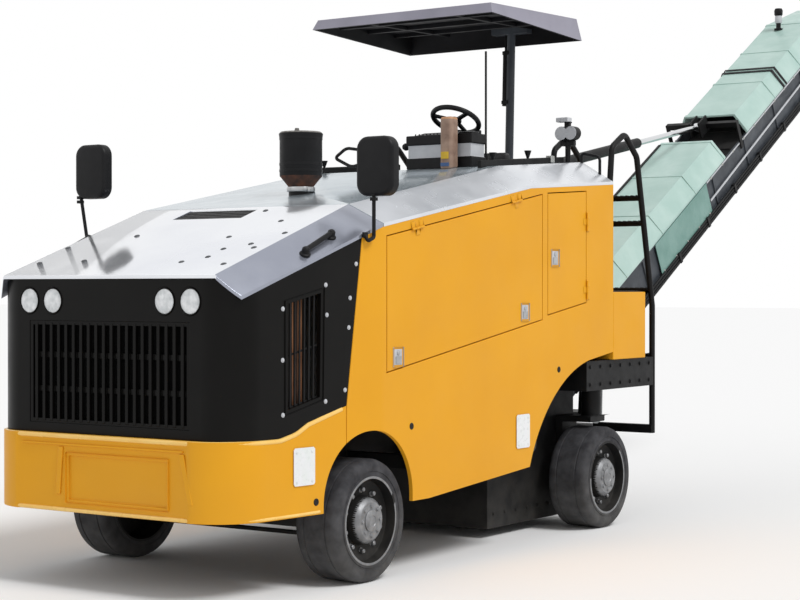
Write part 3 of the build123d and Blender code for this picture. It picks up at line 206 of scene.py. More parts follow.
def mixed(tree, factor, first, second):
    """Two colours mixed by a factor; returns the output."""
    made = add_node(tree, "ShaderNodeMix", {MIX_FACTOR: factor, MIX_A: first, MIX_B: second},
                    data_type="RGBA")
    return made.outputs[MIX_RESULT]


def spread(tree, value, low, high, to_low=0.0, to_high=1.0):
    """A value stretched from one range to another, clamped."""
    return add_node(tree, "ShaderNodeMapRange", {
        "Value": value, "From Min": low, "From Max": high, "To Min": to_low, "To Max": to_high,
    }).outputs["Result"]


def new_material(name):
    """An empty material with its shader; returns the tree, the shader and the object coordinates."""
    material = bpy.data.materials.new(name)
    material.use_nodes = True
    tree = material.node_tree
    tree.nodes.clear()
    shader = add_node(tree, "ShaderNodeBsdfPrincipled")
    add_node(tree, "ShaderNodeOutputMaterial", {"Surface": shader.outputs["BSDF"]})
    place = add_node(tree, "ShaderNodeTexCoord").outputs["Object"]
    return material, tree, shader, place


def noise(tree, place, size_mm, detail=3.0, stretch=(1, 1, 1)):
    """Cloudy noise whose blotches are about this big."""
    turned = add_node(tree, "ShaderNodeMapping", {"Vector": place, "Scale": stretch}).outputs["Vector"]
    return add_node(tree, "ShaderNodeTexNoise", {
        "Vector": turned, "Scale": 1 / (size_mm * MM), "Detail": detail,
    }).outputs["Fac"]


def as_paint(colour):
    """A hex code or a colour that the user chose, as a shader takes it."""
    return paint_colour(colour) if isinstance(colour, str) else colour


def finish_material(name, colour, rough, worn=None, worn_mm=260, worn_share=0.35, grain_mm=3.0, grain=0.05,
                    dust=0.0, dust_top=900, dust_colour="#8f8b84", metallic=0.0, coat=0.0, specular=0.5,
                    stretch=(1, 1, 1), rough_spread=0.06, wave=1.0):
    """A painted, moulded, cast or bare surface, blotched, grained in relief and dusty from below."""
    material, tree, shader, place = new_material(name)
    worn = worn or colour
    blotch = spread(tree, noise(tree, place, worn_mm, 5.0, stretch), 0.62 - worn_share * 0.5, 0.78)
    colour_now = mixed(tree, blotch, as_paint(colour), as_paint(worn))
    if dust:
        height = add_node(tree, "ShaderNodeSeparateXYZ", {"Vector": place}).outputs["Z"]
        low = spread(tree, height, dust_top * MM, 0.05, 0.0, dust)
        patchy = spread(tree, noise(tree, place, 120, 6.0), 0.35, 0.65, 0.35, 1.0)
        share = add_node(tree, "ShaderNodeMath", {0: low, 1: patchy}, operation="MULTIPLY").outputs[0]
        colour_now = mixed(tree, share, colour_now, paint_colour(dust_colour))
    tree.links.new(colour_now, shader.inputs["Base Color"])
    rough_now = spread(tree, noise(tree, place, worn_mm * 0.4, 4.0, stretch), 0.3, 0.7,
                       rough - rough_spread, rough + rough_spread)
    tree.links.new(rough_now, shader.inputs["Roughness"])
    bump = add_node(tree, "ShaderNodeBump", {
        "Height": noise(tree, place, grain_mm, 2.0, stretch), "Strength": grain, "Distance": wave * MM,
    })
    tree.links.new(bump.outputs["Normal"], shader.inputs["Normal"])
    shader.inputs["Metallic"].default_value = metallic
    shader.inputs["Coat Weight"].default_value = coat
    shader.inputs["Coat Roughness"].default_value = 0.08
    shader.inputs["Specular IOR Level"].default_value = specular
    return material


FIN_PITCH = 24.0            # coarser than real fins, so that they show
FLUTE_PITCH = 9.0


def fin_material():
    """Copper radiator core: upright fins with painted shade in the gaps between them, browned in patches."""
    material, tree, shader, place = new_material("brazed_copper_core")
    parts = add_node(tree, "ShaderNodeSeparateXYZ", {"Vector": place})
    along = add_node(tree, "ShaderNodeMath", {0: parts.outputs["Y"], 1: parts.outputs["X"]}, operation="ADD")
    fins = add_node(tree, "ShaderNodeMath", {0: along.outputs[0], 1: tau / (FIN_PITCH * MM)},
                    operation="MULTIPLY")
    ridge = add_node(tree, "ShaderNodeMath", {0: fins.outputs[0]}, operation="SINE").outputs[0]
    fins_and_gap_shade = spread(tree, ridge, -0.4, 0.8)
    patch = spread(tree, noise(tree, place, 90, 4.0, (1, 1, 0.25)), 0.38, 0.66)
    copper = mixed(tree, patch, paint_colour("#8c5c3e"), paint_colour("#cf9062"))
    # Near-black between the fins: painted shade in the gaps
    tree.links.new(mixed(tree, fins_and_gap_shade, paint_colour("#140f0d"), copper), shader.inputs["Base Color"])
    bump = add_node(tree, "ShaderNodeBump", {"Height": fins_and_gap_shade, "Strength": 0.8, "Distance": 0.004})
    tree.links.new(bump.outputs["Normal"], shader.inputs["Normal"])
    shader.inputs["Roughness"].default_value = 0.45
    shader.inputs["Metallic"].default_value = 0.35
    return material


def lens_material(name, colour):
    """Moulded lamp lens with upright flutes in relief."""
    material, tree, shader, place = new_material(name)
    across = add_node(tree, "ShaderNodeSeparateXYZ", {"Vector": place}).outputs["X"]
    flutes = add_node(tree, "ShaderNodeMath", {0: across, 1: tau / (FLUTE_PITCH * MM)},
                      operation="MULTIPLY").outputs[0]
    ridge = add_node(tree, "ShaderNodeMath", {0: flutes}, operation="SINE").outputs[0]
    cloudy = spread(tree, noise(tree, place, 40, 3.0), 0.35, 0.65)
    tint = mixed(tree, cloudy, paint_colour(colour), paint_colour("#c9cdcf"))
    tree.links.new(tint, shader.inputs["Base Color"])
    bump = add_node(tree, "ShaderNodeBump", {"Height": ridge, "Strength": 0.3, "Distance": 0.001})
    tree.links.new(bump.outputs["Normal"], shader.inputs["Normal"])
    shader.inputs["Roughness"].default_value = 0.12
    shader.inputs["Coat Weight"].default_value = 0.6
    shader.inputs["Coat Roughness"].default_value = 0.03
    return material


MATERIALS = {}


def make_materials(look):
    """Makes every finish of the machine, kept by a short name."""
    body, hood, cover, tyre = (tuple(colour) + (1.0,) for colour in (
        look.body_colour, look.hood_colour, look.cover_colour, look.tyre_colour))
    # After name and colour come roughness; colour, size in mm and share of the worn patches; size in mm
    # and strength of the grain
    MATERIALS.update({
        # Sprayed two-pack enamel on sheet steel: deep yellow-orange, soft gloss, dusty towards the sills
        "yellow": finish_material("sprayed_yellow_enamel", body, 0.45, "#df9d20", 520, 0.5, 9, 0.02,
                                  dust=look.dust * 0.7, dust_top=700, dust_colour="#bd9040", specular=0.18),
        # The bumper's yellow enamel made paler on its beads: a painted highlight where the rounded ledges
        # catch the light
        "bead_highlight_yellow": finish_material("yellow_enamel_painted_highlight", "#f7cd74", 0.3, "#f2bf5c", 160, 0.5, 5, 0.03),
        # White enamel on the hood's flat: polished, it shows the sky and the mirrors
        "white": finish_material("sprayed_white_enamel", hood, 0.13, "#e2e4ea", 500, 0.4, 9, 0.02,
                                 metallic=0.7, rough_spread=0.03),
        # The hood's white enamel made greyer on the sloping edges: painted shade, greyer towards the eye
        "hood_edge_shade": finish_material("hood_edge_painted_shade", "#979ba8", 0.2, "#a9adb8", 380, 0.4, 9, 0.02,
                                     metallic=0.6, rough_spread=0.03),
        # The deck's white enamel painted blue-grey on its flat: painted reflection and shade, with a sheen
        "deck": finish_material("deck_painted_reflection_and_shade", "#b6c1c8", 0.2, "#abb6bd", 300, 0.5, 6, 0.03,
                                metallic=0.6, rough_spread=0.03),
        # The deck's white enamel made a little greyer on its slopes: painted shade; less polished than the
        # hood, it stays light all over
        "deck_edge_shade": finish_material("deck_edge_painted_shade", "#dcdfe4", 0.24, "#ced2d8", 380, 0.4, 9,
                                     0.02, metallic=0.3),
        # Black enamel on the nose: near black, soft reflections
        "gloss_black": finish_material("sprayed_black_enamel", "#0b0a09", 0.34, "#100f0e", 300, 0.4, 7,
                                       0.03, specular=0.12),
        # Fine woven wire behind the grille: reads as black cloth
        "mesh_black": finish_material("woven_wire_screen", "#070707", 0.9, "#0c0c0c", 60, 0.5, 4, 0.4,
                                      specular=0.1),
        # Powder coat on frames, tubes and rails: fine orange peel, grey dust below
        "black": finish_material("black_powder_coat", "#101011", 0.5, "#19191a", 160, 0.4, 3, 0.25,
                                 dust=look.dust, dust_top=600, dust_colour="#5f5c57", specular=0.18),
        # Satin enamel on thin covers that have gone slightly wavy
        "mint": finish_material("mint_satin_enamel", cover, 0.38, "#bcd4cd", 240, 0.5, 160, 0.5, wave=12.0),
        # The covers' paint on the side sheets, made darker and duller: painted shade
        "mint_side_shade": finish_material("mint_side_painted_shade", "#628b82", 0.45, "#7da199", 200, 0.6, 90, 0.4,
                                     wave=8.0),
        # Dark grey paint of the conveyor's side frames, scuffed to a lighter grey
        "frame_grey": finish_material("scuffed_grey_enamel", "#33373d", 0.5, "#4a4f55", 140, 0.5, 4, 0.2,
                                      specular=0.3),
        # Roof: grey satin outside with faint clouds; matt near-black inside: painted shade on the underside
        # and inner walls
        "roof_grey": finish_material("grey_satin_enamel", "#8f8d9b", 0.42, "#7f7d8a", 300, 0.5, 5, 0.06),
        "roof_inside_shade": finish_material("roof_painted_shade", "#131315", 0.6, "#1c1c20", 300, 0.5, 5, 0.08,
                                      specular=0.15),
        # Solid tyre rubber: dark grey, dull, scuffed and dusty
        "rubber": finish_material("solid_tyre_rubber", tyre, 0.85, "#4d4d50", 70, 0.55, 5, 0.7,
                                  dust=look.dust, dust_top=500, dust_colour="#77756f", specular=0.25),
        # Moulded plugs, straps and bellows: even black with a fine matt grain
        "rubber_black": finish_material("moulded_black_rubber", "#171718", 0.7, "#222223", 60, 0.5, 3, 0.4,
                                        specular=0.3),
        # Conveyor belt: black rubber browned in patches by what it carries
        "belt": finish_material("ribbed_belt_rubber", "#1c1c1d", 0.8, "#2c2b2a", 120, 0.5, 4, 0.5,
                                specular=0.25),
        # Cast hub under silver paint: pebbled, grey where the paint is thin
        "hub": finish_material("silver_painted_casting", "#919294", 0.45, "#6d6e70", 40, 0.6, 4, 0.5,
                               metallic=0.5),
        # Turned and milled fittings: bright metal with fine lines along one way
        "steel": finish_material("machined_steel", "#b9babb", 0.3, "#9d9e9f", 60, 0.4, 2, 0.15,
                                 metallic=1.0, stretch=(0.2, 1, 1)),
        # Zinc on bolts and clamps: pale metal with a spangle; on old rivets it has dulled
        "zinc": finish_material("zinc_plated_steel", "#c3c4c2", 0.38, "#a7a89f", 20, 0.5, 2, 0.2,
                                metallic=0.9),
        "dull_zinc": finish_material("dulled_zinc_rivet", "#5d5f62", 0.6, "#45474a", 20, 0.5, 2, 0.2,
                                     metallic=0.4),
        # Ground and chromed rod: a mirror, nearly without grain
        "chrome": finish_material("hard_chrome_rod", "#dadcde", 0.08, "#d2d4d6", 200, 0.3, 2, 0.02,
                                  metallic=1.0, rough_spread=0.02),
        # Painted engine casting: rough sand-cast grey
        "iron": finish_material("painted_engine_casting", "#3a3d40", 0.6, "#2c2e30", 80, 0.5, 5, 0.6),
        # Drum steel scraped by asphalt: brown-grey with bright rubbed spots
        "worn_iron": finish_material("scraped_drum_steel", "#55504b", 0.55, "#8a8681", 45, 0.6, 5, 0.6,
                                     metallic=0.6),
        # Heat blued and rusted exhaust pipe: brown blotches over dark scale
        "rust": finish_material("heat_rusted_steel", "#2a2422", 0.8, "#6b4230", 50, 0.7, 6, 0.6,
                                metallic=0.2),
        # Lip of the exhaust, burnt to a pale ash grey
        "ash": finish_material("ash_burnt_steel", "#8d8a86", 0.8, "#4a4643", 18, 0.6, 5, 0.6),
        # Plastic shells of the control column: tan and, above, orange, faded in soft clouds
        "tan": finish_material("moulded_tan_plastic", "#a58a78", 0.5, "#75594a", 60, 0.6, 3, 0.2),
        "orange": finish_material("moulded_orange_plastic", "#c3946f", 0.45, "#a97650", 60, 0.5, 3, 0.2),
        # Grained black plastic of the mirrors, console and wheel: soft sheen
        "plastic": finish_material("moulded_black_plastic", "#0e0e10", 0.45, "#151517", 90, 0.5, 2.5, 0.2,
                                   specular=0.2),
        # Pale grey enamel of bolt heads, bands and rails: smooth and clean
        "pale": finish_material("pale_grey_enamel", "#c4c6ca", 0.4, "#b2b4b9", 90, 0.5, 5, 0.05),
        # Hot-dip zinc on tubes: mid grey with a large spangle
        "grey_tube": finish_material("galvanised_tube", "#8f9294", 0.45, "#787b7d", 30, 0.6, 3, 0.2,
                                     metallic=0.6),
        # Embossed vinyl on the seat: black leather grain
        "vinyl": finish_material("embossed_seat_vinyl", "#1f1f21", 0.55, "#2a2a2c", 60, 0.4, 4, 0.6),
        # Stove enamel on the bare plates: white with a faint green cast
        "plate": finish_material("white_enamelled_plate", "#e6e8ea", 0.3, "#dde3e0", 60, 0.4, 6, 0.02),
        # Vapour-silvered lamp bowls: bright and smooth
        "bright": finish_material("silvered_reflector", "#eceef0", 0.12, "#dfe1e4", 30, 0.3, 3, 0.05,
                                  metallic=0.9),
        # Small moulded switches: plain strong colours, even and half matt
        "signal_yellow": finish_material("moulded_yellow_plastic", "#d9b32c", 0.45, "#c6a024", 40, 0.5, 3,
                                         0.1),
        "signal_blue": finish_material("moulded_blue_plastic", "#3f5f8e", 0.45, "#35507a", 40, 0.5, 3, 0.1),
        # Brazed copper fins: fine upright lines, brown, with painted shade in the gaps between them
        "copper": fin_material(),
        # Fluted lamp covers: milky white in front, deep red at the rear
        "lens": lens_material("fluted_clear_lens", "#eef0f2"),
        "red_lens": lens_material("fluted_red_lens", "#a3151a"),
        # Silvered mirror glass: cool grey, as sharp as the sky in it
        "glass": finish_material("mirror_glass", "#aeb6bd", 0.04, "#a4adb5", 200, 0.3, 50, 0.0,
                                 metallic=1.0, rough_spread=0.01),
    })


# Nodes whose shape stays
PLAIN_NODES = (
    # node, finish, eased edge in mm
    ("main_frame", "black", 3.0),
    ("tail_frame", "black", 4.0),
    ("side_panel_left", "yellow", 2.5),
    ("side_panel_right", "yellow", 2.5),
    ("rear_wall", "yellow", 2.5),
    ("nose_shell", "gloss_black", 2.5),
    ("front_grille", "gloss_black", 2.0),
    ("rear_boxes", "yellow", 6.0),
    ("engine_block", "iron", 6.0),
    ("radiator", "copper", 0.0),
    # The deck's flat wears blue-grey: painted reflection and shade
    ("top_deck", "deck", 2.0),
    ("platform_floor", "black", 2.0),
    ("exhaust_stack", "rust", 3.0),
    ("console", "plastic", 6.0),
    ("control_column", "tan", 10.0),
    ("steering_wheel", "plastic", 3.0),
    ("aerial", "black", 1.0),
    ("well_rails", "black", 5.0),
    ("deck_lamp", "plastic", 5.0),
    ("roof_canopy", "roof_grey", 0.0),
    ("roof_mast", "frame_grey", 3.0),
    ("ladders", "black", 3.0),
    ("drum_housing", "black", 4.0),
    ("front_axle", "black", 6.0),
    ("rear_legs", "black", 6.0),
    ("hood_lid", "white", 2.0),
    ("hood_vent", "plastic", 1.0),
    ("door_front_left", "yellow", 2.5),
    ("door_front_right", "yellow", 2.5),
    ("door_rear_left", "yellow", 2.5),
    ("door_rear_right", "yellow", 2.5),
    ("knuckle_left", "black", 4.0),
    ("knuckle_right", "black", 4.0),
    ("tie_rod", "black", 1.0),
    ("rim_front_left", "black", 2.0),
    ("rim_front_right", "black", 2.0),
    ("rim_rear_left", "black", 2.0),
    ("rim_rear_right", "black", 2.0),
    ("milling_drum", "worn_iron", 2.0),
    ("slew_console", "black", 4.0),
    ("conveyor_frame", "frame_grey", 3.0),
    ("conveyor_belt", "belt", 1.0),
    ("conveyor_cover", "mint", 3.0),
    ("luff_portal", "black", 3.0),
    ("luff_barrel", "black", 3.0),
    ("luff_rod", "chrome", 2.0),
)


ROOF_MIDDLE = 2221.0
WALL_REACH = 200.0          # the roof's inner walls are farther than this from its middle
HUB_EDGE = 124.0
CAN_Z = (2130, 2260)        # the bare pipe between the base and the can
CONSOLE_BAND = (2395, 2478)
CONSOLE_FOOT = 2320
COLUMN_HEAD = 2600
DECK_LAMP_HEAD = 2660
DECK_LAMP_FRONT = 2604


def on_edge(x, back, z, normal):
    """The sloping edges of the hood and deck."""
    return abs(normal.x) > 0.25


def inside_roof(x, back, z, normal):
    """The underside and inner walls of the roof."""
    return normal.z < -0.3 or normal.x * x < -WALL_REACH or normal.y * (back - ROOF_MIDDLE) < -WALL_REACH


def hub_face(x, back, z, normal):
    """The middle of a rim, out to the hub's edge."""
    axle = 0.0 if back < WHEELBASE / 2 else WHEELBASE
    return abs(x) > 900 and (back - axle) ** 2 + (z - AXLE_Z) ** 2 < HUB_EDGE ** 2


# Nodes of two finishes: the second one, and which faces wear it
TWO_TONES = {
    # The hood's sloping edges wear a greyer copy of its white: painted shade
    "hood_lid": ("hood_edge_shade", on_edge),
    # The deck's sloping edges wear a greyer copy of its white: painted shade
    "top_deck": ("deck_edge_shade", on_edge),
    "exhaust_stack": ("plastic", lambda x, back, z, normal: not CAN_Z[0] <= z <= CAN_Z[1]),
    "console": ("pale", lambda x, back, z, normal: CONSOLE_BAND[0] < z < CONSOLE_BAND[1] or z < CONSOLE_FOOT),
    "control_column": ("orange", lambda x, back, z, normal: z > COLUMN_HEAD),
    "deck_lamp": ("pale", lambda x, back, z, normal: (
        z > DECK_LAMP_HEAD or (normal.y < -0.9 and back < DECK_LAMP_FRONT))),
    # The underside and inner walls wear near-black: painted shade
    "roof_canopy": ("roof_inside_shade", inside_roof),
    "rim_front_left": ("hub", hub_face),
    "rim_front_right": ("hub", hub_face),
    "rim_rear_left": ("hub", hub_face),
    "rim_rear_right": ("hub", hub_face),
}


# Mesh making
MERGE = 0.02 * MM
SHARP = radians(35)         # edges that turn more than this are eased


def merge_close(bm):
    """Joins points that lie together."""
    bmesh.ops.remove_doubles(bm, verts=bm.verts, dist=MERGE)


def push_out(bm, made, move):
    """Moves the far end of what an extrusion made."""
    bmesh.ops.translate(bm, verts=[part for part in made if isinstance(part, bmesh.types.BMVert)], vec=move)


def round_edges(bm, edges, size, segments):
    """Rounds edges to a radius in millimetres."""
    bmesh.ops.bevel(bm, geom=list(edges), offset=size * MM, segments=segments, affect="EDGES", profile=0.5,
                    material=-1)


def bar(bm, start, end, radius, end_radius=None, sides=16):
    """A round or tapered bar between two points."""
    line = end - start
    bmesh.ops.create_cone(
        bm, cap_ends=True, segments=sides, depth=line.length,
        radius1=radius * MM, radius2=(radius if end_radius is None else end_radius) * MM,
        matrix=Matrix.Translation((start + end) / 2) @ line.to_track_quat("Z", "Y").to_matrix().to_4x4(),
    )


def slab(bm, x_range, back_range, z_range, turn=None):
    """A block between two x, two distances behind the front axle and two heights."""
    low, high = (at(x, b, z) for x, b, z in zip(x_range, back_range, z_range))
    place = Matrix.Translation((low + high) / 2)
    if turn is not None:
        place = place @ turn
    return bmesh.ops.create_cube(bm, size=1.0, matrix=place @ Matrix.Diagonal((*(high - low), 1)))["verts"]


def rounded_slab(bm, x_range, back_range, z_range, corner):
    """A block whose corners, seen from behind, are round."""
    made = slab(bm, x_range, back_range, z_range)
    edges = {edge for vert in made for edge in vert.link_edges}
    round_edges(bm, [e for e in edges if abs((e.verts[0].co - e.verts[1].co).y) > MM], corner, 10)


def prism(bm, corners, depth):
    """A solid of a flat outline, pushed out along a vector."""
    face = bm.faces.new([bm.verts.new(corner) for corner in corners])
    push_out(bm, bmesh.ops.extrude_face_region(bm, geom=[face])["geom"], depth)


def framed(bm, corners, width, depth):
    """A raised frame just inside a flat outline."""
    face = bm.faces.new([bm.verts.new(corner) for corner in corners])
    ring = bmesh.ops.inset_region(bm, faces=[face], thickness=width * MM, use_boundary=True)["faces"]
    bmesh.ops.delete(bm, geom=[face], context="FACES_ONLY")
    push_out(bm, bmesh.ops.extrude_face_region(bm, geom=ring)["geom"], depth)


def turned(bm, profile, centre, axis, sides=40):
    """A round form: a profile of (radius, along) turned about an axis through a point."""
    axis = Vector(axis).normalized()
    across = axis.orthogonal().normalized()
    verts = [bm.verts.new(centre + (across * radius + axis * along) * MM) for radius, along in profile]
    edges = [bm.edges.new(pair) for pair in zip(verts, verts[1:])]
    bmesh.ops.spin(bm, geom=verts + edges, cent=centre, axis=axis, angle=tau, steps=sides, use_merge=True)


def pipe(bm, points, radius, bend=0.0, sides=3, turns=5):
    """A tube through points, rounded where it turns: by one size, or by a size for each corner."""
    path = bmesh.new()
    verts = [path.verts.new(point) for point in points]
    for pair in zip(verts, verts[1:]):
        path.edges.new(pair)
    for vert, size in zip(verts[1:-1], bend if isinstance(bend, tuple) else [bend] * (len(verts) - 2)):
        if size:
            bmesh.ops.bevel(path, geom=[vert], offset=size * MM, segments=turns, affect="VERTICES",
                            profile=0.5, material=-1)
    step = min((v for v in path.verts if len(v.link_edges) == 1), key=lambda v: (v.co - points[0]).length)
    line, edge = [step.co.copy()], None
    while True:
        edge = next((e for e in step.link_edges if e is not edge), None)
        if edge is None:
            break
        step = edge.other_vert(step)
        line.append(step.co.copy())
    path.free()
    curve = bpy.data.curves.new("tube", "CURVE")
    curve.dimensions = "3D"
    spline = curve.splines.new("POLY")
    spline.points.add(len(line) - 1)
    for point, co in zip(spline.points, line):
        point.co = (*co, 1)
    curve.bevel_depth = radius * MM
    curve.bevel_resolution = sides
    curve.use_fill_caps = True
    holder = bpy.data.objects.new("tube", curve)
    mesh = bpy.data.meshes.new_from_object(holder)
    bm.from_mesh(mesh)
    bpy.data.objects.remove(holder)
    bpy.data.curves.remove(curve)
    bpy.data.meshes.remove(mesh)


def bolt(bm, place, out, radius=9.0, height=6.0):
    """A domed bolt head on a washer."""
    turned(bm, [(0, -1), (radius * 1.45, -1), (radius * 1.45, 1.6), (radius, 1.6),
                (radius * 0.95, height * 0.7), (radius * 0.6, height), (0, height)], place, out, 12)


def lens_cap(bm, centre, out, radius, rise):
    """A domed disc."""
    turned(bm, [(0, -8), (radius, -8), (radius, 0), (radius * 0.9, rise * 0.45), (radius * 0.6, rise * 0.85),
                (0, rise)], centre, out, 40)


def other_side(bm, side):
    """Turns a piece made for the left side into the right-hand one."""
    if side < 0:
        bmesh.ops.scale(bm, vec=(-1, 1, 1), verts=bm.verts)


def finish_piece(bm, name, body, finish, eased=0.0, replaces=(), second=None, second_on=None,
                 recalculated=True, smooth_over=35):
    """Makes the object of a mesh, with its finish, eased edges and body."""
    if recalculated:
        merge_close(bm)
        bmesh.ops.recalc_face_normals(bm, faces=bm.faces)
    if second:
        for face in bm.faces:
            middle = face.calc_center_median() / MM
            if second_on(middle.x, middle.y - FRONT_AXLE_Y, middle.z, face.normal):
                face.material_index = 1
    mesh = bpy.data.meshes.new(name)
    bm.to_mesh(mesh)
    bm.free()
    mesh.shade_smooth()
    mesh.set_sharp_from_angle(angle=radians(smooth_over))
    piece = bpy.data.objects.new(name, mesh)
    bpy.context.scene.collection.objects.link(piece)
    mesh.materials.append(MATERIALS[finish])
    if second:
        mesh.materials.append(MATERIALS[second])
    if eased:
        ease = piece.modifiers.new("eased edges", "BEVEL")
        ease.width = eased * MM
        ease.segments = 2
        ease.limit_method = "ANGLE"
        ease.angle_limit = SHARP
        ease.use_clamp_overlap = False
        ease.harden_normals = True
    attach(piece, body)
    if replaces:
        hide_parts(*replaces)
    return piece


def node_copy(node):
    """The mesh of a frame node, merged, with its flat faces whole again."""
    bm = bmesh.new()
    bm.from_mesh(frame["nodes"][node].data)
    merge_close(bm)
    bmesh.ops.dissolve_limit(bm, angle_limit=radians(0.5), verts=bm.verts, edges=bm.edges)
    return bm


def body_with(node):
    """The body that a frame node rides on."""
    return frame["nodes"][node]["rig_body"]


class PLANER_OT_finishes(bpy.types.Operator):
    """Make every paint, rubber, metal and plastic of the machine"""
    bl_idname = "planer.finishes"
    bl_label = "Finishes"

    def execute(self, context):
        make_materials(context.scene.planer_look)
        return {"FINISHED"}


class PLANER_OT_plain_nodes(bpy.types.Operator):
    """Finish and ease the edges of every node whose shape stays"""
    bl_idname = "planer.plain_nodes"
    bl_label = "Plain nodes"

    def execute(self, context):
        for node, finish, eased in PLAIN_NODES:
            second, second_on = TWO_TONES.get(node, (None, None))
            finish_piece(node_copy(node), f"{node}_finished", body_with(node), finish, eased, (node,),
                         second, second_on, recalculated=False)
        return {"FINISHED"}


# Headlamps: profiles as (radius, distance behind the lamp's seat)
LAMP_X = (392.0, 563.0)
LAMP_Z = 1504.0
LAMP_FACE = -1021.0
LAMP_BEZEL = ((62, 44), (72, 44), (72, 0), (70, -4), (66, -4), (63, 0), (62, 44))
LAMP_BOWL = ((63, 2), (60, 14), (50, 26), (34, 36), (14, 42), (14, 44), (36, 39), (52, 29), (62, 15), (63, 2))
LAMP_BULB = ((0, 10), (8, 11), (12, 16), (12, 24), (8, 32), (14, 36), (14, 44), (0, 44))
LENS_RADIUS = 62.5
LENS_SUNK = 2.0
LENS_RISE = 4.0


class PLANER_OT_headlamps(bpy.types.Operator):
    """Four round headlamps: bezel, silvered bowl, bulb and fluted lens"""
    bl_idname = "planer.headlamps"
    bl_label = "Headlamps"

    def execute(self, context):
        bezels, bowls, bulbs, lenses = (bmesh.new() for _ in range(4))
        for x in LAMP_X:
            for side in (-1, 1):
                centre = at(side * x, LAMP_FACE, LAMP_Z)
                turned(bezels, LAMP_BEZEL, centre, REARWARD)
                turned(bowls, LAMP_BOWL, centre, REARWARD)
                turned(bulbs, LAMP_BULB, centre, REARWARD, 20)
                lens_cap(lenses, centre + REARWARD * LENS_SUNK * MM, -REARWARD, LENS_RADIUS, LENS_RISE)
        finish_piece(bezels, "headlamp_bezels", "chassis", "gloss_black", 0.8)
        finish_piece(bowls, "headlamp_bowls", "chassis", "bright")
        finish_piece(bulbs, "headlamp_bulbs", "chassis", "bright")
        finish_piece(lenses, "headlamp_lenses", "chassis", "lens", replaces=("headlamps",))
        return {"FINISHED"}


# Black nose: bolts and window corners as (distance behind the front axle, z)
NOSE_BOLTS = (
    (-674, 1466), (-676, 1207), (-674, 930), (-366, 985), (-364, 1587), (-191, 1364), (-220, 1038),
    (-135, 1698), (-356, 1432), (-181, 1519),
)
NOSE_BOLT_HEIGHT = 6.0
WINDOW = ((-638.0, 953.0), (-407.0, 1010.0), (-398.0, 1545.0), (-638.0, 1490.0))
WINDOW_RIM = ((-660.0, 926.0), (-385.0, 994.0), (-376.0, 1572.0), (-660.0, 1507.0))
RIM_WIDTH = 18.0
RIM_PROUD = 5.0
RIM_GAP = 0.3               # keeps the frame off the enamel under it
BAR_SPACES = 7              # one more than the upright bars of a window
BAR_HALF = 5.0
BAR_SUNK = 14.0
BAR_DEPTH = 8.0
STAY_SUNK = 26.0            # level rods that hold the bars from behind
STAY_RADIUS = 6.0
GRILLE_SCREEN = ((-548.0, 548.0), (-988.0, -984.0), (868.0, 1392.0))    # x, back and z ranges


class PLANER_OT_nose_details(bpy.types.Operator):
    """Bolts, window frames and screens of the black nose"""
    bl_idname = "planer.nose_details"
    bl_label = "Nose details"

    def execute(self, context):
        look = context.scene.planer_look
        screen = bmesh.new()
        slab(screen, *GRILLE_SCREEN)
        finish_piece(screen, "grille_screen", "chassis", "mesh_black", 1)
        front_low, rear_low, rear_high, front_high = WINDOW
        for side, hand in SIDES:
            bolts, frames, bars = (bmesh.new() for _ in range(3))
            for back, z in NOSE_BOLTS:
                bolt(bolts, at(side_x(back), back, z), LEFT_SIDE, look.bolt_size / 2, NOSE_BOLT_HEIGHT)
            framed(frames, [at(side_x(back) + RIM_GAP, back, z) for back, z in WINDOW_RIM], RIM_WIDTH,
                   LEFT_SIDE * RIM_PROUD * MM)
            for i in range(1, BAR_SPACES):
                foot = between(front_low, rear_low, i / BAR_SPACES)
                head = between(front_high, rear_high, i / BAR_SPACES)
                corners = [(back + half, z) for (back, z), half in (
                    (foot, -BAR_HALF), (foot, BAR_HALF), (head, BAR_HALF), (head, -BAR_HALF))]
                prism(bars, [at(side_x(back) - BAR_SUNK, back, z) for back, z in corners],
                      -LEFT_SIDE * BAR_DEPTH * MM)
            for share in (0.0, 0.5, 1.0):
                bar(bars, *(at(side_x(back) - 1, back, z) - LEFT_SIDE * STAY_SUNK * MM for back, z in (
                    between(front_low, front_high, share), between(rear_low, rear_high, share))), STAY_RADIUS)
            for bm, name, finish, eased in (
                (bolts, "bolts", "pale", 0), (frames, "window_frame", "gloss_black", 1.5),
                (bars, "screen_bars", "black", 1.0),
            ):
                other_side(bm, side)
                finish_piece(bm, f"nose_{name}_{hand}", "chassis", finish, eased)
        return {"FINISHED"}


# Bumper: what is pressed into its front, as x and z
PRESSING = 10.0             # how far the front sheet goes back, so that its ribs stand out
POCKET = 16.0               # how far the pocket's floor goes back
POCKET_HALF = 500.0
POCKET_FLOOR = 8.0          # the pocket's floor lies less than this behind the front
GUSSETS = ((-299.0, -278.0), (612.0, 552.0))    # x at the foot and at the top
GUSSET_Z = (496.0, 744.0)
GUSSET_HALF = 16.0
POCKET_RIM = ((-244.0, 454.0), (466.0, 454.0), (466.0, 716.0), (-244.0, 716.0))
POCKET_RIM_WIDTH = 14.0
RIB_ROOT = 1.0              # how far the ribs reach into the sheet
BEADS = (
    # (back, z) from the left end to the round corner; radius; bend at each point, left to right
    (((-240, 938), (-494, 870), (-581, 826), (-700, 799)), 13, (0, 30, 20, 262, 262, 20, 30, 0)),
    (((-410, 419), (-560, 417)), 11, (0, 262, 262, 0)),
)
BEAD_SUNK = 8.0
BUMPER_LIP = ((-560.0, 560.0), (BUMPER_FRONT + 2, BUMPER_FRONT + 14), (752.0, 762.0))


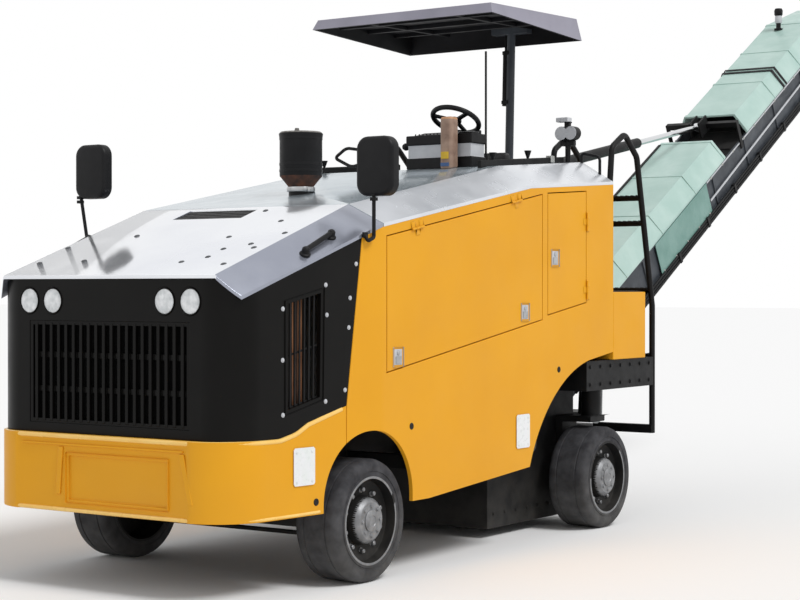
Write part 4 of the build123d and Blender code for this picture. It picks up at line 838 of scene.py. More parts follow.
class PLANER_OT_bumper(bpy.types.Operator):
    """Pressed steel bumper with a deep pocket, two gussets, a lip, and beads along its top and foot"""
    bl_idname = "planer.bumper"
    bl_label = "Bumper"

    def execute(self, context):
        bm = node_copy("front_bumper")
        for vert in bm.verts:
            behind = vert.co.y / MM - FRONT_AXLE_Y - BUMPER_FRONT
            if behind < 0.5:
                vert.co.y += PRESSING * MM
            elif behind < POCKET_FLOOR and abs(vert.co.x) < POCKET_HALF * MM:
                vert.co.y += POCKET * MM
        finish_piece(bm, "front_bumper_finished", "chassis", "yellow", 3.0, ("front_bumper",),
                     recalculated=False)
        ribs = bmesh.new()
        root = BUMPER_FRONT + PRESSING + RIB_ROOT
        for low_x, high_x in GUSSETS:
            low_z, high_z = GUSSET_Z
            prism(ribs, [at(low_x - GUSSET_HALF, root, low_z), at(low_x + GUSSET_HALF, root, low_z),
                         at(high_x + GUSSET_HALF, root, high_z), at(high_x - GUSSET_HALF, root, high_z)],
                  -REARWARD * (PRESSING + 0.5) * MM)
        framed(ribs, [at(x, root, z) for x, z in POCKET_RIM], POCKET_RIM_WIDTH,
               -REARWARD * (PRESSING - 0.5) * MM)
        finish_piece(ribs, "bumper_ribs", "chassis", "yellow", 4.0)
        bead = bmesh.new()
        for places, radius, bends in BEADS:
            left = [at(bumper_x(back) - BEAD_SUNK, back, z) for back, z in places]
            corner = at(bumper_x(BUMPER_FRONT) - BEAD_SUNK, BUMPER_FRONT + radius + 1, places[-1][1])
            right = [Vector((-p.x, p.y, p.z)) for p in (corner, *reversed(left))]
            pipe(bead, [*left, corner, *right], radius, bends, turns=14)
        # The beads wear the paler yellow: a painted highlight
        finish_piece(bead, "bumper_bead", "chassis", "bead_highlight_yellow", smooth_over=60)
        lip = bmesh.new()
        slab(lip, *BUMPER_LIP)
        finish_piece(lip, "bumper_lip", "chassis", "yellow", 3.0)
        return {"FINISHED"}


# Hood: rivets as (x, back), and on each sloping edge a catch of two posts and a bar
HOOD_RIVETS = (
    (-669, -843), (-364, -813), (-361, -402), (343, -453), (355, -846), (470, -773), (470, -650), (666, -883),
    (660, -635), (682, -406), (229, 0), (593, -576), (492, -197), (-705, -590),
)
RIVET = ((0, -1), (16, -1), (16, 2), (10, 5), (0, 6))
HOOD_NORMAL = Vector((0, -0.349, 1)).normalized()
CATCH_X = 862.0
CATCH_BACKS = (-470.0, -250.0)
CATCH_LEAN = (0.45, -0.25, 0.86)
CATCH_POST = ((0, -8), (30, -8), (30, 6), (22, 12), (20, 34), (12, 42), (0, 43))
CATCH_BAR_UP = 26.0
CATCH_BAR_RADIUS = 14.0


class PLANER_OT_hood_details(bpy.types.Operator):
    """Rivets and moulded catches of the hood"""
    bl_idname = "planer.hood_details"
    bl_label = "Hood details"

    def execute(self, context):
        rivets, catches = bmesh.new(), bmesh.new()
        for x, back in HOOD_RIVETS:
            turned(rivets, RIVET, at(x, back, top_z(x, back)), HOOD_NORMAL, 12)
        lean_x, lean_y, lean_z = CATCH_LEAN
        for side, _ in SIDES:
            out = Vector((side * lean_x, lean_y, lean_z)).normalized()
            feet = [at(side * CATCH_X, back, top_z(CATCH_X, back)) for back in CATCH_BACKS]
            for foot in feet:
                turned(catches, CATCH_POST, foot, out, 24)
            bar(catches, *(foot + out * CATCH_BAR_UP * MM for foot in feet), CATCH_BAR_RADIUS, sides=20)
        finish_piece(rivets, "hood_rivets", "hood", "dull_zinc")
        finish_piece(catches, "hood_catches", "hood", "plastic", 1.5)
        return {"FINISHED"}


# Mirrors: x from the machine's middle, depths from the arm, heights from the middle of the head
MIRROR_ARMS = (
    # side, arm back, lower x, upper x, head z
    (1, -20.0, 978.0, 978.0, 2218.0),
    (-1, -110.0, 1022.0, 1079.0, 2254.0),
)
HEAD_X = (870.0, 1108.0)
HEAD_DEPTH = (-20.0, 46.0)
HEAD_HALF_Z = 159.0
HEAD_CORNER = 68.0
HEAD_ROUNDING = 22.0
GLASS_X = (884.0, 1094.0)
GLASS_DEPTH = (44.0, 49.0)
GLASS_HALF_Z = 147.0
GLASS_CORNER = 56.0
ARM_RADIUS = 10.6
ARM_BEND = 12.0
ARM_ROOT = ((954.5, 966.0), (-95.0, -55.0), (1836.0, 1866.0))    # x, back and z ranges
ARM_FOOT_X = 960.0
ARM_BACK = -75.0
ARM_Z = (1851.0, 1819.0, 1839.0)
ARM_TOP = 119.0             # the arm ends this far below the head's middle
ARM_COLLARS = (150.0, 175.0)
HOOP = ((905.0, 2236.0), (822.0, 2219.0), (712.0, 2271.0), (789.0, 2322.0), (905.0, 2305.0))    # x, z
HOOP_BACK = -8.0
COLLAR_HALF = (16.0, 15.0, 9.0)    # x, back and z


class PLANER_OT_mirrors(bpy.types.Operator):
    """Two mirrors on bent arms, and the hoop beside the left one"""
    bl_idname = "planer.mirrors"
    bl_label = "Mirrors"

    def execute(self, context):
        heads, arms, glasses = (bmesh.new() for _ in range(3))
        for side, arm_back, low_x, high_x, head_z in MIRROR_ARMS:
            rounded_slab(heads, span(side, *HEAD_X), [arm_back + depth for depth in HEAD_DEPTH],
                         (head_z - HEAD_HALF_Z, head_z + HEAD_HALF_Z), HEAD_CORNER)
            front = [f for f in heads.faces if f.normal.y < -0.9 and f.calc_center_median().x * side > 0.5]
            round_edges(heads, {e for f in front for e in f.edges}, HEAD_ROUNDING, 4)
            rounded_slab(glasses, span(side, *GLASS_X), [arm_back + depth for depth in GLASS_DEPTH],
                         (head_z - GLASS_HALF_Z, head_z + GLASS_HALF_Z), GLASS_CORNER)
            root_x, root_back, root_z = ARM_ROOT
            slab(arms, span(side, *root_x), root_back, root_z)
            pipe(arms, [at(side * ARM_FOOT_X, ARM_BACK, ARM_Z[0]), at(side * low_x, ARM_BACK, ARM_Z[1]),
                        at(side * low_x, arm_back, ARM_Z[2]), at(side * high_x, arm_back, head_z - ARM_TOP)],
                 ARM_RADIUS, ARM_BEND)
            for below in ARM_COLLARS:
                middle = (side * high_x, arm_back, head_z - below)
                slab(arms, *((place - half, place + half) for place, half in zip(middle, COLLAR_HALF)))
        pipe(arms, [at(x, HOOP_BACK, z) for x, z in HOOP], radius=9, bend=22)
        finish_piece(heads, "mirror_housings", "hood", "plastic", 0, ("mirrors",), smooth_over=50)
        finish_piece(arms, "mirror_arms", "hood", "black", 1.5)
        finish_piece(glasses, "mirror_glasses", "hood", "glass", 0.8)
        return {"FINISHED"}


# Sides of the body
PLATE_CUT = 10.0
PLATE_SPACER = 22.0         # from the plate's edges to its spacers
PLATE_GAP = 4.0
PLATE_THICK = 3.0
PLATES = (
    # half width there, direction out, back range, z range
    (bumper_x, BUMPER_SIDE, (-612, -455), (564, 758)),
    (side_x, ACROSS, (1468, 1623), (607, 810)),
)
PLUG = ((0, -2), (19, -2), (19, 2), (14, 5), (11, 2), (0, 1.5))
PLUGS = (
    # half width there, direction out, back, z
    (bumper_x, BUMPER_SIDE, -441, 471),
    (side_x, ACROSS, 349, 814),
    (side_x, ACROSS, 1990, 1063),
)
LATCHES = (
    # door, (back, z) of its latches
    ("door_front", ((218, 1197), (1574, 1426))),
    ("door_rear", ((1941, 1757),)),
)
CUP_HALF_BACK = 48.0
CUP_HALF_Z = 54.0
CUP_RIM = 13.0
CUP_PROUD = 8.0
CUP_FLOOR_INSET = 11.0
PADDLE_HALF_BACK = 26.0
PADDLE_Z = (-36.0, 4.0)
LOCK = ((0, 0), (14, 0), (14, 5), (11, 6), (0, 6))
LOCK_UP = 23.0


def square_plate(bm, x_at, back_range, z_range, out):
    """A bare sheet plate with cut corners, held off the body on four spacers."""
    low_b, high_b = back_range
    low_z, high_z = z_range
    outline = [
        (low_b + PLATE_CUT, low_z), (high_b - PLATE_CUT, low_z), (high_b, low_z + PLATE_CUT),
        (high_b, high_z - PLATE_CUT), (high_b - PLATE_CUT, high_z), (low_b + PLATE_CUT, high_z),
        (low_b, high_z - PLATE_CUT), (low_b, low_z + PLATE_CUT),
    ]
    prism(bm, [at(x_at(back), back, z) + out * PLATE_GAP * MM for back, z in outline], out * PLATE_THICK * MM)
    for back in (low_b + PLATE_SPACER, high_b - PLATE_SPACER):
        for z in (low_z + PLATE_SPACER, high_z - PLATE_SPACER):
            foot = at(x_at(back), back, z)
            bar(bm, foot - out * MM, foot + out * (PLATE_GAP + 0.5) * MM, radius=9)
            bolt(bm, foot + out * (PLATE_GAP + PLATE_THICK) * MM, out, radius=6, height=4)


def latch(cups, paddles, back, z):
    """A paddle latch in its cup, with a lock above the paddle, on the left side."""
    corners = ((-1, -1), (1, -1), (1, 1), (-1, 1))
    framed(cups, [at(BODY_HALF, back + b * CUP_HALF_BACK, z + up * CUP_HALF_Z) for b, up in corners],
           CUP_RIM, ACROSS * CUP_PROUD * MM)
    floor_b, floor_z = CUP_HALF_BACK - CUP_FLOOR_INSET, CUP_HALF_Z - CUP_FLOOR_INSET
    slab(cups, (BODY_HALF - 1, BODY_HALF + 2), (back - floor_b, back + floor_b), (z - floor_z, z + floor_z))
    slab(paddles, (BODY_HALF + 1, BODY_HALF + 7), (back - PADDLE_HALF_BACK, back + PADDLE_HALF_BACK),
         [z + up for up in PADDLE_Z])
    turned(paddles, LOCK, at(BODY_HALF + 1, back, z + LOCK_UP), ACROSS, 20)


class PLANER_OT_side_details(bpy.types.Operator):
    """Blank plates, plugs and door latches of both sides"""
    bl_idname = "planer.side_details"
    bl_label = "Side details"

    def execute(self, context):
        for side, hand in SIDES:
            plates, plugs = bmesh.new(), bmesh.new()
            for x_at, out, back_range, z_range in PLATES:
                square_plate(plates, x_at, back_range, z_range, out)
            for x_at, out, back, z in PLUGS:
                turned(plugs, PLUG, at(x_at(back), back, z), out, 24)
            for bm, name, finish in ((plates, "plates", "plate"), (plugs, "plugs", "rubber_black")):
                other_side(bm, side)
                finish_piece(bm, f"side_{name}_{hand}", "chassis", finish, 0.8)
            for door, places in LATCHES:
                cups, paddles = bmesh.new(), bmesh.new()
                for back, z in places:
                    latch(cups, paddles, back, z)
                for bm, name, finish in ((cups, "cups", "pale"), (paddles, "paddles", "steel")):
                    other_side(bm, side)
                    finish_piece(bm, f"{door}_latch_{name}_{hand}", f"{door}_{hand}", finish, 1.2)
        return {"FINISHED"}


# Wheels: half of the tyre's profile as (radius, distance across), from the bore to the tread's middle
WHEEL_X = 812.0
HUB_OUT = 135.0
TYRE_HALF = [
    (238, -135), (250, -135), (252, -131), (264, -131), (266, -135), (294, -135), (311, -130), (323, -119),
    (330, -102), (330, -74), (325, -71), (325, -65), (330, -62),
]
HUB_CAP = ((0, -2), (60, -2), (60, 6), (54, 10), (30, 12), (26, 8), (0, 8))
CAP_BOLTS = 8
CAP_BOLT_CIRCLE = 80.0
RIM_NUTS = 10
RIM_NUT_CIRCLE = 165.0
RIM_NUT_SUNK = 70.0
RIM_NUT = ((0, 0), (20, 0), (20, 3), (14, 4), (14, 20), (10, 24), (0, 24))


def around_axle(count, radius, first=0.0):
    """Places of like pieces set evenly around a wheel's axle, from its middle."""
    for i in range(count):
        turn = tau * (i + first) / count
        yield Vector((0, cos(turn), sin(turn))) * radius * MM


class PLANER_OT_wheels(bpy.types.Operator):
    """Solid tyres with grooved shoulders, and the bolts and caps of the hubs"""
    bl_idname = "planer.wheels"
    bl_label = "Wheels"

    def execute(self, context):
        look = context.scene.planer_look
        for place, back in (("front", 0.0), ("rear", WHEELBASE)):
            for side, hand in SIDES:
                body = f"wheel_{place}_{hand}"
                centre = at(side * WHEEL_X, back, AXLE_Z)
                tyre, hub = bmesh.new(), bmesh.new()
                turned(tyre, TYRE_HALF + [(radius, -across) for radius, across in reversed(TYRE_HALF)]
                       + TYRE_HALF[:1], centre, ACROSS, 96)
                finish_piece(tyre, f"tyre_{place}_{hand}_finished", body, "rubber", 0,
                             (f"tyre_{place}_{hand}",), smooth_over=50)
                out = ACROSS * side
                face = centre + out * HUB_OUT * MM
                turned(hub, HUB_CAP, face, out, 40)
                for spot in around_axle(CAP_BOLTS, CAP_BOLT_CIRCLE):
                    bolt(hub, face + spot, out, look.bolt_size * 0.6, height=8)
                for spot in around_axle(RIM_NUTS, RIM_NUT_CIRCLE, 0.5):
                    turned(hub, RIM_NUT, face + spot - out * RIM_NUT_SUNK * MM, out, 6)
                finish_piece(hub, f"hub_{place}_{hand}", body, "hub", 0.8)
        return {"FINISHED"}


# Exhaust: profiles as (radius, z) around its pipe
EXHAUST_BACK = 620.0
EXHAUST_LIP = ((112, 2470), (126.5, 2470), (127, 2484), (119, 2491), (113, 2484), (112, 2470))
CAP_HINGE = ((0, 2470), (14, 2470), (15, 2500), (11, 2514), (0, 2515))
CAP_HINGE_PLACE = (-14.0, 600.0, 0.0)
EXHAUST_BANDS = (2262, 2300, 2452)
BAND = ((124, -9), (128, -7), (128, 7), (124, 9), (124, -9))    # z from the band's middle
EXHAUST_CLAMP = ((70, 2138), (82, 2138), (84, 2144), (84, 2160), (82, 2166), (70, 2166), (70, 2138))
EXHAUST_SLEEVE = ((70, 2180), (78, 2180), (78, 2204), (70, 2204), (70, 2180))
CLAMP_BOLT = ((74, 585, 2152), (104, 585, 2152))
CLAMP_LUG = ((82, 100), (578, 592), (2140, 2164))    # x, back and z ranges


class PLANER_OT_exhaust(bpy.types.Operator):
    """Rim, bands, clamp and cap hinge of the exhaust"""
    bl_idname = "planer.exhaust"
    bl_label = "Exhaust"

    def execute(self, context):
        rim, clamp, bands = (bmesh.new() for _ in range(3))
        centre = at(0, EXHAUST_BACK, 0)
        turned(rim, EXHAUST_LIP, centre, UP, 48)
        turned(rim, CAP_HINGE, at(*CAP_HINGE_PLACE), UP, 20)
        for z in EXHAUST_BANDS:
            turned(bands, BAND, at(0, EXHAUST_BACK, z), UP, 48)
        turned(clamp, EXHAUST_CLAMP, centre, UP, 40)
        turned(clamp, EXHAUST_SLEEVE, centre, UP, 40)
        bar(clamp, *(at(*end) for end in CLAMP_BOLT), radius=6)
        slab(clamp, *CLAMP_LUG)
        finish_piece(bands, "exhaust_bands", "chassis", "plastic")
        finish_piece(rim, "exhaust_rim", "chassis", "ash", 0)
        finish_piece(clamp, "exhaust_clamp", "chassis", "steel", 0.8)
        return {"FINISHED"}


# Driver's station: blocks as x, back and z ranges, and profiles as (radius, z)
SWITCH = ((0, 2538), (7, 2538), (7, 2543), (4, 2544), (3.5, 2550), (5, 2553), (0, 2554))
SWITCHES = 9
SWITCH_FIRST_X = 60.0
SWITCH_PITCH = 28.0
SWITCH_BACK = 1745.0
BUTTON = ((0, 2538), (17, 2538), (18, 2544), (13, 2550), (0, 2550))
BUTTON_X = (70.0, 130.0, 190.0)
BUTTON_BACK = 1800.0
DISPLAY = ((395, 492), (1735, 1845), (2538, 2552))
DISPLAY_GLASS = ((405, 482), (1745, 1835), (2551, 2554))
LEVER_FOOT = (18.0, 1845.0, 2440.0)
LEVER_TOP = (-84.0, 1860.0, 2487.0)
LEVER_KNOB = ((0, -24), (16, -20), (24, -6), (24, 8), (14, 22), (0, 25))
LEVER_KNOB_PLACE = (-92.0, 1860.0, 2487.0)
YELLOW_SWITCH = ((352, 404), (1591, 1602), (2376, 2420))
BLUE_SWITCH = ((349, 407), (1591, 1602), (2330, 2352))
RAIL_X = 652.0
RAIL_FOOT_BACK = 1500.0
RAIL_FOOT_Z = 2350.0
RAIL_RISE = 0.0783
RAIL_CAPS = ((1722.0, 2411.0), (2151.0, 2450.0))    # back, z of the wide end
RAIL_CLAMP = ((632, 673), (2418, 2464), (2388, 2434))
GRAB_HANDLE = ((748, 2396), (748, 2462), (884, 2432), (884, 2316))    # x, z
GRAB_HANDLE_BACK = 2690.0


def rail_top(back):
    """Height of the station's side rails."""
    return RAIL_FOOT_Z + (back - RAIL_FOOT_BACK) * RAIL_RISE


class PLANER_OT_station(bpy.types.Operator):
    """Switches, lever, rail caps and grab handle of the driver's station"""
    bl_idname = "planer.station"
    bl_label = "Driver's station"

    def execute(self, context):
        dark, pale, yellow, blue, clamps = (bmesh.new() for _ in range(5))
        for i in range(SWITCHES):
            turned(dark, SWITCH, at(SWITCH_FIRST_X + i * SWITCH_PITCH, SWITCH_BACK, 0), UP, 12)
        for x in BUTTON_X:
            turned(pale, BUTTON, at(x, BUTTON_BACK, 0), UP, 24)
        slab(dark, *DISPLAY)
        slab(pale, *DISPLAY_GLASS)
        bar(dark, at(*LEVER_FOOT), at(*LEVER_TOP), radius=8)
        turned(dark, LEVER_KNOB, at(*LEVER_KNOB_PLACE), ACROSS, 24)
        slab(yellow, *YELLOW_SWITCH)
        slab(blue, *BLUE_SWITCH)
        clamp_x, clamp_back, clamp_z = RAIL_CLAMP
        for side, _ in SIDES:
            for back, tip in RAIL_CAPS:
                bar(dark, at(side * RAIL_X, back, rail_top(back) - 2), at(side * RAIL_X, back, tip),
                    radius=7, end_radius=24, sides=20)
            slab(clamps, span(side, *clamp_x), clamp_back, clamp_z)
        pipe(dark, [at(x, GRAB_HANDLE_BACK, z) for x, z in GRAB_HANDLE], radius=10, bend=24)
        finish_piece(dark, "station_fittings", "chassis", "plastic", 0.8)
        finish_piece(pale, "station_buttons", "chassis", "pale", 0.8)
        finish_piece(yellow, "station_yellow_switch", "chassis", "signal_yellow", 2)
        finish_piece(blue, "station_blue_switch", "chassis", "signal_blue", 2)
        finish_piece(clamps, "rail_clamps", "chassis", "zinc", 3)
        return {"FINISHED"}


# Seat: blocks as x, back and z ranges
SEAT_X = (12.0, 318.0)
SEAT_PADS = (
    # name, back range, z range
    ("seat_cushion", (2214.0, 2424.0), (2314.0, 2380.0)),
    ("seat_back", (2440.0, 2500.0), (2396.0, 2472.0)),
)
PAD_ROUNDING = 22.0
PAD_SWELL = 8.0
PAD_VOXEL = 7.0
PAD_PRESSURE = 4.0
PAD_FRAMES = 20
SEAT_PAN = (
    ((18, 312), (2210, 2470), (2300, 2313)),
    ((24, 306), (2486, 2508), (2330, 2466)),
    ((60, 270), (2250, 2450), (2000.4, 2030)),
)
PLEATS = 7
PLEAT_FOOT = 2030.0
PLEAT_PITCH = 38.5
PLEAT_WIDE = ((84, 246), (2276, 2424), (0, 20))      # z from the pleat's foot
PLEAT_NARROW = ((96, 234), (2288, 2412), (18, 40))
WELT = ((4, 2206), (326, 2206), (326, 2432), (4, 2432), (4, 2206))    # x, back
WELT_Z = 2347.0


def puffed(bm, name, most):
    """A closed pad swollen as cloth under air pressure, each point by no more than most."""
    scene = bpy.context.scene
    mesh = bpy.data.meshes.new(name)
    bm.to_mesh(mesh)
    bm.free()
    pad = bpy.data.objects.new(name, mesh)
    scene.collection.objects.link(pad)
    voxels = pad.modifiers.new("voxels", "REMESH")
    voxels.mode = "VOXEL"
    voxels.voxel_size = PAD_VOXEL * MM
    deps = bpy.context.evaluated_depsgraph_get()
    even = bpy.data.meshes.new_from_object(pad.evaluated_get(deps))
    pad.modifiers.remove(voxels)
    pad.data = even
    before = [v.co.copy() for v in even.vertices]
    cloth = pad.modifiers.new("cloth", "CLOTH")
    cloth.settings.use_pressure = True
    cloth.settings.uniform_pressure_force = PAD_PRESSURE
    cloth.settings.effector_weights.gravity = 0
    for step in range(1, PAD_FRAMES + 1):
        scene.frame_set(step)
    deps = bpy.context.evaluated_depsgraph_get()
    swollen = bpy.data.meshes.new_from_object(pad.evaluated_get(deps))
    for vert, start in zip(swollen.vertices, before):
        move = vert.co - start
        if move.length > most * MM:
            vert.co = start + move.normalized() * most * MM
    made = bmesh.new()
    made.from_mesh(swollen)
    bpy.data.objects.remove(pad)
    scene.frame_set(1)
    return made


class PLANER_OT_seat(bpy.types.Operator):
    """Padded seat on a rigid pan, with a bellows under it"""
    bl_idname = "planer.seat"
    bl_label = "Seat"

    def execute(self, context):
        for name, back_range, z_range in SEAT_PADS:
            bm = bmesh.new()
            slab(bm, SEAT_X, back_range, z_range)
            round_edges(bm, bm.edges, PAD_ROUNDING, 4)
            bmesh.ops.subdivide_edges(bm, edges=[e for e in bm.edges if e.calc_length() > 0.1], cuts=6,
                                      use_grid_fill=True)
            pad = finish_piece(puffed(bm, name, PAD_SWELL), name, "chassis", "vinyl", 0, ("seat",),
                               smooth_over=60)
            smooth = pad.modifiers.new("rounded", "SUBSURF")
            smooth.levels = smooth.render_levels = 1
        pan, bellows, welts = (bmesh.new() for _ in range(3))
        for block in SEAT_PAN:
            slab(pan, *block)
        for i in range(PLEATS):
            foot = PLEAT_FOOT + i * PLEAT_PITCH
            for x_range, back_range, z_range in (PLEAT_WIDE, PLEAT_NARROW):
                slab(bellows, x_range, back_range, [foot + up for up in z_range])
        pipe(welts, [at(x, back, WELT_Z) for x, back in WELT], radius=4, bend=18)
        finish_piece(pan, "seat_pan", "chassis", "black", 3, ("seat",))
        finish_piece(bellows, "seat_bellows", "chassis", "rubber_black", 6)
        finish_piece(welts, "seat_welt", "chassis", "vinyl")
        return {"FINISHED"}


# Roof: its underside rises a little to the rear
ROOF_FRONT = 1673.0
ROOF_UNDER = 3314.0
ROOF_RISE = 0.0292
RIB_BACKS = (1900.0, 2220.0, 2540.0)
RIB_HALF_LENGTH = 640.0
RIB_HALF_WIDTH = 18.0
RIB_HEIGHTS = (-26.0, -1.0)
BEAM_X = (-330.0, 330.0)
BEAM_HALF = 14.0
BEAM_BACK = 1700.0
BEAM_Z = (3290.0, 3312.0)
BEAM_RUN = (0.0, 1040.0, 30.0)
# Strut beside the mast, as (back, z): foot, end of the barrel, end of the rod
STRUT_X = 160.0
STRUT = ((2686.6, 2807.0), (2699.4, 3181.0), (2703.0, 3286.0))
STRUT_LUGS = ((2686.6, 2830.0), (2699.4, 3165.0))
STRUT_LUG_X = (150.0, 200.0)
STRUT_LUG_HALF = (34.0, 12.0)    # back and z
MAST_COLLAR = ((26, -12), (42, -12), (42, 12), (26, 12), (26, -12))
MAST_COLLAR_PLACE = (200.0, 2674.0, 2425.0)
MAST_LEAN = (0.0, 0.034, 1.0)


class PLANER_OT_roof(bpy.types.Operator):
    """Ribs under the roof, and the strut beside its mast"""
    bl_idname = "planer.roof"
    bl_label = "Roof ribs and strut"

    def execute(self, context):
        ribs, strut = bmesh.new(), bmesh.new()
        for back in RIB_BACKS:
            under = ROOF_UNDER + (back - ROOF_FRONT) * ROOF_RISE
            slab(ribs, (-RIB_HALF_LENGTH, RIB_HALF_LENGTH), (back - RIB_HALF_WIDTH, back + RIB_HALF_WIDTH),
                 [under + height for height in RIB_HEIGHTS])
        low_z, high_z = BEAM_Z
        for x in BEAM_X:
            prism(ribs, [at(x - BEAM_HALF, BEAM_BACK, low_z), at(x + BEAM_HALF, BEAM_BACK, low_z),
                         at(x + BEAM_HALF, BEAM_BACK, high_z), at(x - BEAM_HALF, BEAM_BACK, high_z)],
                  Vector(BEAM_RUN) * MM)
        foot, barrel_end, rod_end = (at(STRUT_X, back, z) for back, z in STRUT)
        bar(strut, foot, barrel_end, radius=20, sides=24)
        bar(strut, barrel_end, rod_end, radius=9)
        half_back, half_z = STRUT_LUG_HALF
        for back, z in STRUT_LUGS:
            slab(strut, STRUT_LUG_X, (back - half_back, back + half_back), (z - half_z, z + half_z))
        turned(strut, MAST_COLLAR, at(*MAST_COLLAR_PLACE), MAST_LEAN, 24)
        # The ribs under the roof wear the same near-black: painted shade
        finish_piece(ribs, "roof_ribs", "chassis", "roof_inside_shade", 2)
        finish_piece(strut, "mast_sleeve", "chassis", "black", 2)
        return {"FINISHED"}


# Ladders
TREADS = (
    # z, back
    (1100.0, 3375.0), (1551.0, 3352.0), (2007.0, 3245.0), (2178.0, 3205.0),
)
TREAD_X = (500.0, 915.0)
TREAD_DEPTH = (-34.0, 20.0)
TREAD_HEIGHT = (8.0, 20.0)
STUD = ((0, 19), (7, 19), (5, 24), (0, 24))    # z from the tread's foot
STUDS = 11
STUD_FIRST_X = 512.0
STUD_PITCH = 39.0
STUD_ROWS = (-24.0, -8.0, 8.0)
BOTTOM_STEP = ((480, 935), (3348, 3398), (574, 632))    # x, back and z ranges
GUARD_X = 640.0
GUARD = ((2905.0, 1098.0), (2925.0, 690.0), (3150.0, 650.0), (3165.0, 1098.0))    # back, z


class PLANER_OT_ladders(bpy.types.Operator):
    """Studded treads, bottom steps and guard hoops of the ladders"""
    bl_idname = "planer.ladders"
    bl_label = "Ladders"

    def execute(self, context):
        treads, studs, guards = (bmesh.new() for _ in range(3))
        step_x, step_back, step_z = BOTTOM_STEP
        for side, _ in SIDES:
            for z, back in TREADS:
                slab(treads, span(side, *TREAD_X), [back + depth for depth in TREAD_DEPTH],
                     [z + height for height in TREAD_HEIGHT])
                for i in range(STUDS):
                    for row in STUD_ROWS:
                        turned(studs, STUD, at(side * (STUD_FIRST_X + i * STUD_PITCH), back + row, z), UP, 6)
            slab(treads, span(side, *step_x), step_back, step_z)
            pipe(guards, [at(side * GUARD_X, back, z) for back, z in GUARD], radius=16, bend=60)
        finish_piece(treads, "ladder_treads", "chassis", "black", 2)
        finish_piece(studs, "ladder_studs", "chassis", "black")
        finish_piece(guards, "step_guards", "chassis", "grey_tube")
        return {"FINISHED"}


# Rear: outlines as (x, z) on the wall or on the boxes' rear faces
LOUVRE_FRAME = ((-500.0, 1640.0), (500.0, 1640.0), (500.0, 2240.0), (-500.0, 2240.0))
LOUVRE_BACK = 2718.2
LOUVRES = 13
LOUVRE_FIRST_Z = 1688.0
LOUVRE_PITCH = 42.0
LOUVRE_HALF = (474.0, 20.0)    # in x and z
LOUVRE_DEPTH = (2717.0, 2723.0)
LOUVRE_TILT = radians(-32)
TAIL_LAMP_X = (700.0, 860.0)
TAIL_LAMP_BACK = 3193.0
TAIL_LAMP_Z = 1440.0
TAIL_LAMP_RIM = ((42, -10), (50, -10), (50, 4), (46, 8), (42, 4), (42, -10))
STEP_PAD = ((625, 945), (2745, 3160), (1545.2, 1551))    # x, back and z ranges
PAD_STUD = ((0, 1550), (8, 1550), (5, 1555), (0, 1555))
PAD_STUD_FIRST = (650.0, 2775.0)
PAD_STUD_PITCH = (34.0, 41.0)
PAD_STUDS = (9, 10)
BOX_LID = ((630.0, 1140.0), (940.0, 1140.0), (940.0, 1370.0), (630.0, 1370.0))
BOX_LID_BACK = 3185.2
BOX_HANDLE = ((740.0, 3186.0), (740.0, 3222.0), (830.0, 3222.0), (830.0, 3186.0))    # x, back
BOX_HANDLE_Z = 1290.0


class PLANER_OT_rear_details(bpy.types.Operator):
    """Louvres, tail lamps, step pads and box lids of the rear"""
    bl_idname = "planer.rear_details"
    bl_label = "Rear details"

    def execute(self, context):
        louvres, lamps, rims, pads, handles = (bmesh.new() for _ in range(5))
        framed(louvres, [at(x, LOUVRE_BACK, z) for x, z in LOUVRE_FRAME], width=24, depth=REARWARD * 10 * MM)
        half_x, half_z = LOUVRE_HALF
        for i in range(LOUVRES):
            z = LOUVRE_FIRST_Z + i * LOUVRE_PITCH
            slab(louvres, (-half_x, half_x), LOUVRE_DEPTH, (z - half_z, z + half_z),
                 Matrix.Rotation(LOUVRE_TILT, 4, "X"))
        pad_x, pad_back, pad_z = STEP_PAD
        for side, _ in SIDES:
            for x in TAIL_LAMP_X:
                centre = at(side * x, TAIL_LAMP_BACK, TAIL_LAMP_Z)
                lens_cap(lamps, centre, REARWARD, radius=42, rise=10)
                turned(rims, TAIL_LAMP_RIM, centre, REARWARD, 32)
            slab(pads, span(side, *pad_x), pad_back, pad_z)
            for i in range(PAD_STUDS[0]):
                for j in range(PAD_STUDS[1]):
                    turned(pads, PAD_STUD, at(side * (PAD_STUD_FIRST[0] + i * PAD_STUD_PITCH[0]),
                                              PAD_STUD_FIRST[1] + j * PAD_STUD_PITCH[1], 0), UP, 6)
            framed(handles, [at(side * x, BOX_LID_BACK, z) for x, z in BOX_LID], width=6,
                   depth=REARWARD * 3 * MM)
            pipe(handles, [at(side * x, back, BOX_HANDLE_Z) for x, back in BOX_HANDLE], radius=7, bend=12)
        finish_piece(louvres, "rear_louvres", "chassis", "yellow", 1.5)
        finish_piece(lamps, "tail_lamps", "chassis", "red_lens")
        finish_piece(rims, "tail_lamp_rims", "chassis", "plastic", 1)
        finish_piece(pads, "step_pads", "chassis", "black")
        finish_piece(handles, "box_handles", "chassis", "black", 1)
        return {"FINISHED"}


